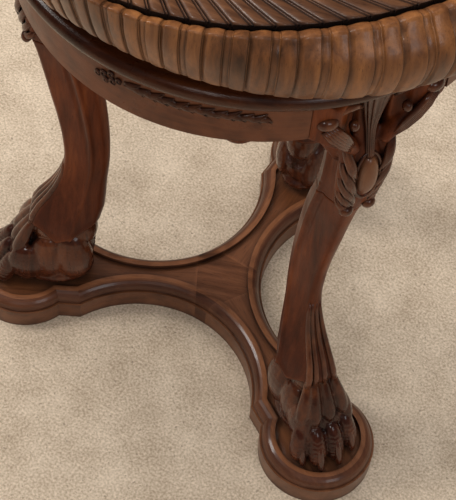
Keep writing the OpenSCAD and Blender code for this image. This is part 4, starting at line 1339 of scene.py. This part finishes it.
@dataclass
class Seat:
    """The shell seat: its fluted wall, its ribbed shell and the board underneath.

    Attributes:
        shop: Where finishes and pieces go.
        radius: Largest radius of the wall.
        well: Radius of the well inside the wall.
        bottom: Height of the well's floor.
        foot: Height of the wall's underside.
        top: Height of the lip on the far side of the hinge.
        drop: How much lower the lip is beside the hinge.
        pairs: Flutes round the wall, each with a wide and a narrow panel.
        start: Where the first flute starts, as a share of a flute.
        hinge_angle: Direction of the shell's hinge in degrees.
        hinge_r: Its distance from the axis.
        hinge_z: Its height.
        crowding: How much closer the flutes stand beside the hinge, in degrees.
        lean_to: Degrees from the hinge up to which the wall leans in.
        change: Degrees over which it then bellies out.
        edge: Radius of the shell's edge.
        edge_drop: Depth of the shell's edge below the lip.
        side_drop: Depth of the shell's underside below the lip.
        dish: How much the shell sinks in its middle.
        flute: Steps across one flute, in shares of it.
        cut: Depth of the channels: place in the flute and depth.
        lean: Wall beside the hinge: share of the height and share of the radius.
        belly: Wall elsewhere, in the same way.
        levels: Shares of the height at which the wall has a ring.
        lip_steps: Steps over the lip: inwards and down.
        rib: Steps across one rib of the shell, in shares of it.
    """

    shop: Workshop
    radius: float = 188.0
    well: float = 166.0
    bottom: float = 450.6
    foot: float = 441.6
    top: float = 494.1
    drop: float = 13.0
    pairs: int = 43
    start: float = 0.77
    hinge_angle: float = -110.0
    hinge_r: float = 102.0
    hinge_z: float = 481.1
    crowding: float = 15.0
    lean_to: float = 15.0
    change: float = 65.0
    edge: float = 162.6
    edge_drop: float = 5.2
    side_drop: float = 15.2
    dish: float = 9.0
    flute: tuple[float, ...] = (
        -0.065, -0.055, -0.045, -0.03, -0.01, 0.02, 0.05, 0.08, 0.105, 0.125, 0.14, 0.152, 0.165, 0.18,
        0.21, 0.25, 0.30, 0.35, 0.40, 0.44, 0.465, 0.482, 0.492, 0.502, 0.515, 0.535, 0.56, 0.585, 0.60,
        0.63, 0.68, 0.74, 0.80, 0.85, 0.89, 0.91, 0.925)
    cut: Table = ((-0.065, 0.0), (-0.048, 1.75), (-0.03, 1.5), (0.04, 1.0), (0.11, 1.45), (0.135, 1.85),
                  (0.155, 0.0), (0.475, 0.0), (0.492, 1.7), (0.515, 1.5), (0.585, 0.35), (0.60, 0.0))
    lean: Table = ((0, 0.868), (0.13, 0.881), (0.42, 0.901), (0.70, 0.917), (1.0, 0.930))
    belly: Table = ((0, 0.932), (0.03, 0.942), (0.10, 0.959), (0.255, 0.981), (0.427, 0.9945), (0.56, 1.0),
                    (0.71, 0.993), (0.82, 0.975), (0.89, 0.955), (0.96, 0.938), (1.0, 0.930))
    levels: tuple[float, ...] = (0.012, 0.035, 0.07, 0.11, 0.16, 0.22, 0.29, 0.37, 0.46, 0.55, 0.63, 0.70,
                                 0.76, 0.82, 0.87, 0.91, 0.945, 0.975)
    lip_steps: Table = ((0.5, -0.15), (1.5, -0.25), (2.9, 0.0), (4.4, 0.5), (6.0, 1.3), (7.2, 2.6),
                        (8.0, 5.0))
    rib: tuple[float, ...] = (0.0, 0.03, 0.06, 0.09, 0.12, 0.15, 0.18, 0.21, 0.25, 0.29, 0.34, 0.42, 0.50,
                              0.58, 0.66, 0.74, 0.82, 0.88, 0.93, 0.97)

    def angle(self, share: np.ndarray) -> np.ndarray:
        """Gives the direction of a place in the round of flutes, in radians."""
        return np.radians(self.hinge_angle + 360 * share - self.crowding * np.sin(2 * np.pi * share))

    def far(self, turn: np.ndarray) -> np.ndarray:
        """Tells how far a direction is from the hinge: zero beside it, one on the far side."""
        away = np.degrees(np.arccos(np.cos(turn - math.radians(self.hinge_angle))))
        return 0.5 - 0.5 * np.cos(np.clip((away - self.lean_to) / self.change, 0, 1) * np.pi)

    def lip(self, turn: np.ndarray) -> np.ndarray:
        """Gives the height of the lip in a direction."""
        return self.top - self.drop * (1 - self.far(turn))

    def profile(self, table: Table, share: float) -> float:
        """Reads the wall's radius, as a share of the largest, at a share of its height."""
        return curve(*zip(*table), np.array([share]))[0]

    def wall(self) -> Shape:
        """Builds the fluted wall: it leans in near the hinge and bellies out elsewhere.

        Returns:
            The closed wall.
        """
        step = np.array(self.flute)
        cut = np.tile(np.interp(step, *zip(*self.cut)), self.pairs)
        swell = np.tile(0.5 * arch((step - 0.16) / 0.315) + 0.5 * arch((step - 0.60) / 0.335), self.pairs)
        turn = self.angle(((np.arange(self.pairs)[:, None] + step + self.start) / self.pairs).ravel())
        far, lip = self.far(turn), self.lip(turn) - 1.3
        wobble = 0.35 * np.sin(turn * 29 + 1.0) + 0.3 * np.sin(turn * 47)
        rows = [around(turn, self.well - 17.8, self.foot),
                around(turn, self.radius * (0.860 * (1 - far) + 0.926 * far), self.foot)]
        for t in self.levels:
            deep = min(1.0, t / 0.05) * (1.0 if t < 0.9 else 1.0 - (t - 0.9) * 3)
            base = self.radius * (self.profile(self.lean, t) * (1 - far) + self.profile(self.belly, t) * far)
            lift = 1.2 * swell * max(0.0, (t - 0.8) / 0.2)
            height = self.foot + (lip - self.foot) * t + lift - 0.5 * cut * (t > 0.9)
            rows.append(around(turn, base - deep * cut + 0.5 * swell - 0.3, height))
        crown = lip + 1.3 * swell - 0.95 * cut + 0.5 * wobble
        edge = self.radius * 0.930 - 0.6 * cut
        rows += [around(turn, edge - inward, np.minimum(crown - down, self.top))
                 for inward, down in self.lip_steps]
        rows += [around(turn, self.well + 0.4, lip - 8.0), around(turn, self.well, lip - 10.0),
                 around(turn, self.well, self.bottom)]
        return Shape.grid(np.stack(rows, axis=1), closed_rows=True, closed_columns=True)

    def shell(self) -> Shape:
        """Builds the ribbed shell that lies in the wall and rises to its hinge.

        Returns:
            The closed shell.
        """
        step, ribs = np.array(self.rib), 2 * self.pairs
        lift = -1.5 * bump(step, 0.045, 0.05) + 0.5 * bump(step, 0.13, 0.06) - 1.9 * bump(step, 0.23, 0.07)
        lift = np.tile(lift + 0.9 * arch((step - 0.29) / 0.71), ribs)
        turn = self.angle(((np.arange(ribs)[:, None] + step + 2 * self.start - 0.1) / ribs).ravel())
        lip = self.lip(turn)
        hinge = around(math.radians(self.hinge_angle), self.hinge_r, 0.0)[:2]
        out = around(turn, 1.0, 0.0)[:, :2]
        scallop = self.edge + 2.2 + 0.9 * np.tile(arch((step - 0.27) / 0.75), ribs)
        rows = []
        for run in np.r_[0.05, 0.075, 0.11, np.linspace(0.15, 1.0, 34)]:
            p = hinge + (out * scallop[:, None] - hinge) * run
            near = np.linalg.norm(p, axis=1) / self.edge
            z = self.hinge_z + (lip - self.edge_drop + 1.8 - self.hinge_z) * run ** 2
            z = z - self.dish * (1 - near ** 2) + 6.0 * max(0.0, 1 - run / 0.45)
            rows.append(np.column_stack([p, z + lift * np.clip(run / 0.5, 0.05, 1.0)]))
        last = rows[-1]
        for inward, down in ((0.4, 1.0), (0.9, 2.6), (1.0, 6.0)):
            rows.append(np.column_stack([last[:, :2] - out * inward, last[:, 2] - down]))
        rows += [around(turn, self.well - 0.4, lip - self.side_drop),
                 around(turn, self.well - 0.4, self.bottom + 12.0)]
        return Shape.solid(np.stack(rows))

    def build(self) -> None:
        """Adds the wall and the shell and dresses the board."""
        # Dust and painted shade darken the channels of the wall and the shell.
        wall = WoodFinish("wall_walnut", *WALL_WOOD, dirt_and_shade=0.95, wear=0.9, reach=0.005,
                          dirt_and_shade_tone=(0.009, 0.0075, 0.005), rub_from=0.507, coat=0.1)
        shell = WoodFinish("shell_walnut", *SHELL_WOOD, Grain.LEVEL, 10.0, dirt_and_shade=0.9, wear=0.7, reach=0.005,
                           dirt_and_shade_tone=(0.008, 0.0065, 0.007), rub_from=0.51, coat=0.1)
        self.shop.piece("fluted_wall", self.wall(), wall, "seat", "seat_walnut", ["seat_rim"])
        self.shop.piece("ribbed_shell", self.shell(), shell, "seat", "seat_walnut", ["seat_shell"])
        self.shop.dress("seat_board", beech("board_beech"))


@dataclass(frozen=True)
class Lamp:
    """A square soft lamp.

    Attributes:
        name: Its name.
        place: Where it hangs, in metres.
        aim_z: Height on the stool's axis that it faces, in metres.
        size: Length of its side in metres.
        power: Its power in watts.
        tint: Colour of its light.
        glints: Whether polished wood mirrors it.
    """

    name: str
    place: Point
    aim_z: float
    size: float
    power: float
    tint: Colour
    glints: bool = True

    def hang(self) -> None:
        """Hangs the lamp and turns it to the stool."""
        light = bpy.data.lights.new(self.name, "AREA")
        light.shape = "SQUARE"
        light.size = self.size
        light.energy = self.power
        light.color = self.tint
        obj = bpy.data.objects.new(self.name, light)
        away = np.asarray(self.place) - np.array([0.0, 0.0, self.aim_z])
        away /= np.linalg.norm(away)
        side = np.cross(UP, away)
        side /= np.linalg.norm(side)
        over = np.cross(away, side)
        turn = Matrix([[side[i], over[i], away[i]] for i in range(3)]).to_4x4()
        obj.matrix_world = Matrix.Translation(self.place) @ turn
        obj.visible_glossy = self.glints
        bpy.context.scene.collection.objects.link(obj)


@dataclass
class Studio:
    """The floor, the lamps and the camera.

    Attributes:
        shop: Where the floor's finish comes from.
        place: Where the camera stands, in metres.
        right: Direction to the right of the picture.
        up: Direction to the top of the picture.
        ahead: Direction of sight.
        lens: Focal length in millimetres.
        sensor: Width of the sensor in millimetres.
        sight: How far the camera sees, in metres.
        floor_half: Half the floor's length in millimetres.
        lamps: The lamps.
        room: Colour of the room's own light.
        glow: Strength of the room's own light.
        mirrored_glow: Its strength in polished wood.
    """

    shop: Workshop
    place: Point = (0.318955, -0.611128, 1.061219)
    right: Point = (0.83999517, 0.53890867, 0.06313127)
    up: Point = (-0.47573436, 0.67553457, 0.56332039)
    ahead: Point = (-0.26093089, 0.50322013, -0.82382315)
    lens: float = 119.345
    sensor: float = 36.0
    sight: float = 50.0
    floor_half: float = 24000.0
    lamps: tuple[Lamp, ...] = (
        Lamp("sky", (-0.35, 0.45, 2.6), 0.2, 2.2, 48.0, (1.0, 0.98, 0.95), False),
        Lamp("key", (-1.5, -0.5, 1.7), 0.3, 0.55, 17.0, (1.0, 0.97, 0.92)),
        Lamp("front", (0.45, -1.85, 1.95), 0.3, 0.25, 6.5, (1.0, 0.98, 0.95)),
        Lamp("fill", (1.7, -0.9, 1.3), 0.25, 0.7, 6.0, (0.95, 0.97, 1.0)))
    room: Colour = (0.96, 0.97, 1.0)
    glow: float = 0.42
    mirrored_glow: float = 0.07

    def floor(self) -> None:
        """Lays a pale floor."""
        half = self.floor_half
        corners = np.array([[-half, -half, 0], [half, -half, 0], [half, half, 0], [-half, half, 0]])
        obj = bpy.data.objects.new("floor", Shape(corners, [(0, 1, 2, 3)]).mesh("floor"))
        bpy.context.scene.collection.objects.link(obj)
        obj.data.materials.append(self.shop.finish(StoneFinish()))

    def camera(self) -> None:
        """Sets up the camera at the photograph's angle."""
        lens = bpy.data.cameras.new("camera")
        lens.lens = self.lens
        lens.sensor_width = self.sensor
        lens.sensor_fit = "AUTO"
        lens.clip_end = self.sight
        obj = bpy.data.objects.new("camera", lens)
        turn = Matrix([[self.right[i], self.up[i], -self.ahead[i]] for i in range(3)]).to_4x4()
        obj.matrix_world = Matrix.Translation(self.place) @ turn
        bpy.context.scene.collection.objects.link(obj)
        bpy.context.scene.camera = obj

    def air(self) -> None:
        """Fills the room with soft light, dimmer in the mirror of polished wood."""
        world = bpy.data.worlds.new("room")
        world.use_nodes = True
        bpy.context.scene.world = world
        sheet = Sheet(world.node_tree)
        mirrored = sheet.add("LightPath").outputs["Is Glossy Ray"]
        back = world.node_tree.nodes["Background"]
        back.inputs["Color"].default_value = (*self.room, 1)
        world.node_tree.links.new(sheet.span(mirrored, 0.0, 1.0, self.glow, self.mirrored_glow),
                                  back.inputs["Strength"])

    def build(self) -> None:
        """Sets up the whole studio."""
        self.floor()
        self.camera()
        for lamp in self.lamps:
            lamp.hang()
        self.air()
        bpy.context.scene.view_settings.view_transform = "Standard"


def main() -> None:
    """Builds and dresses the whole stool."""
    logging.basicConfig(level=logging.INFO, format="%(name)s %(message)s")
    shop = Workshop()
    Platform(shop).build()
    for spot in Spot:
        Leg(shop, spot).build()
    RoundFrame(shop).build()
    Ironwork(shop).build()
    Seat(shop).build()
    Studio(shop).build()


if __name__ == "__main__":
    main()
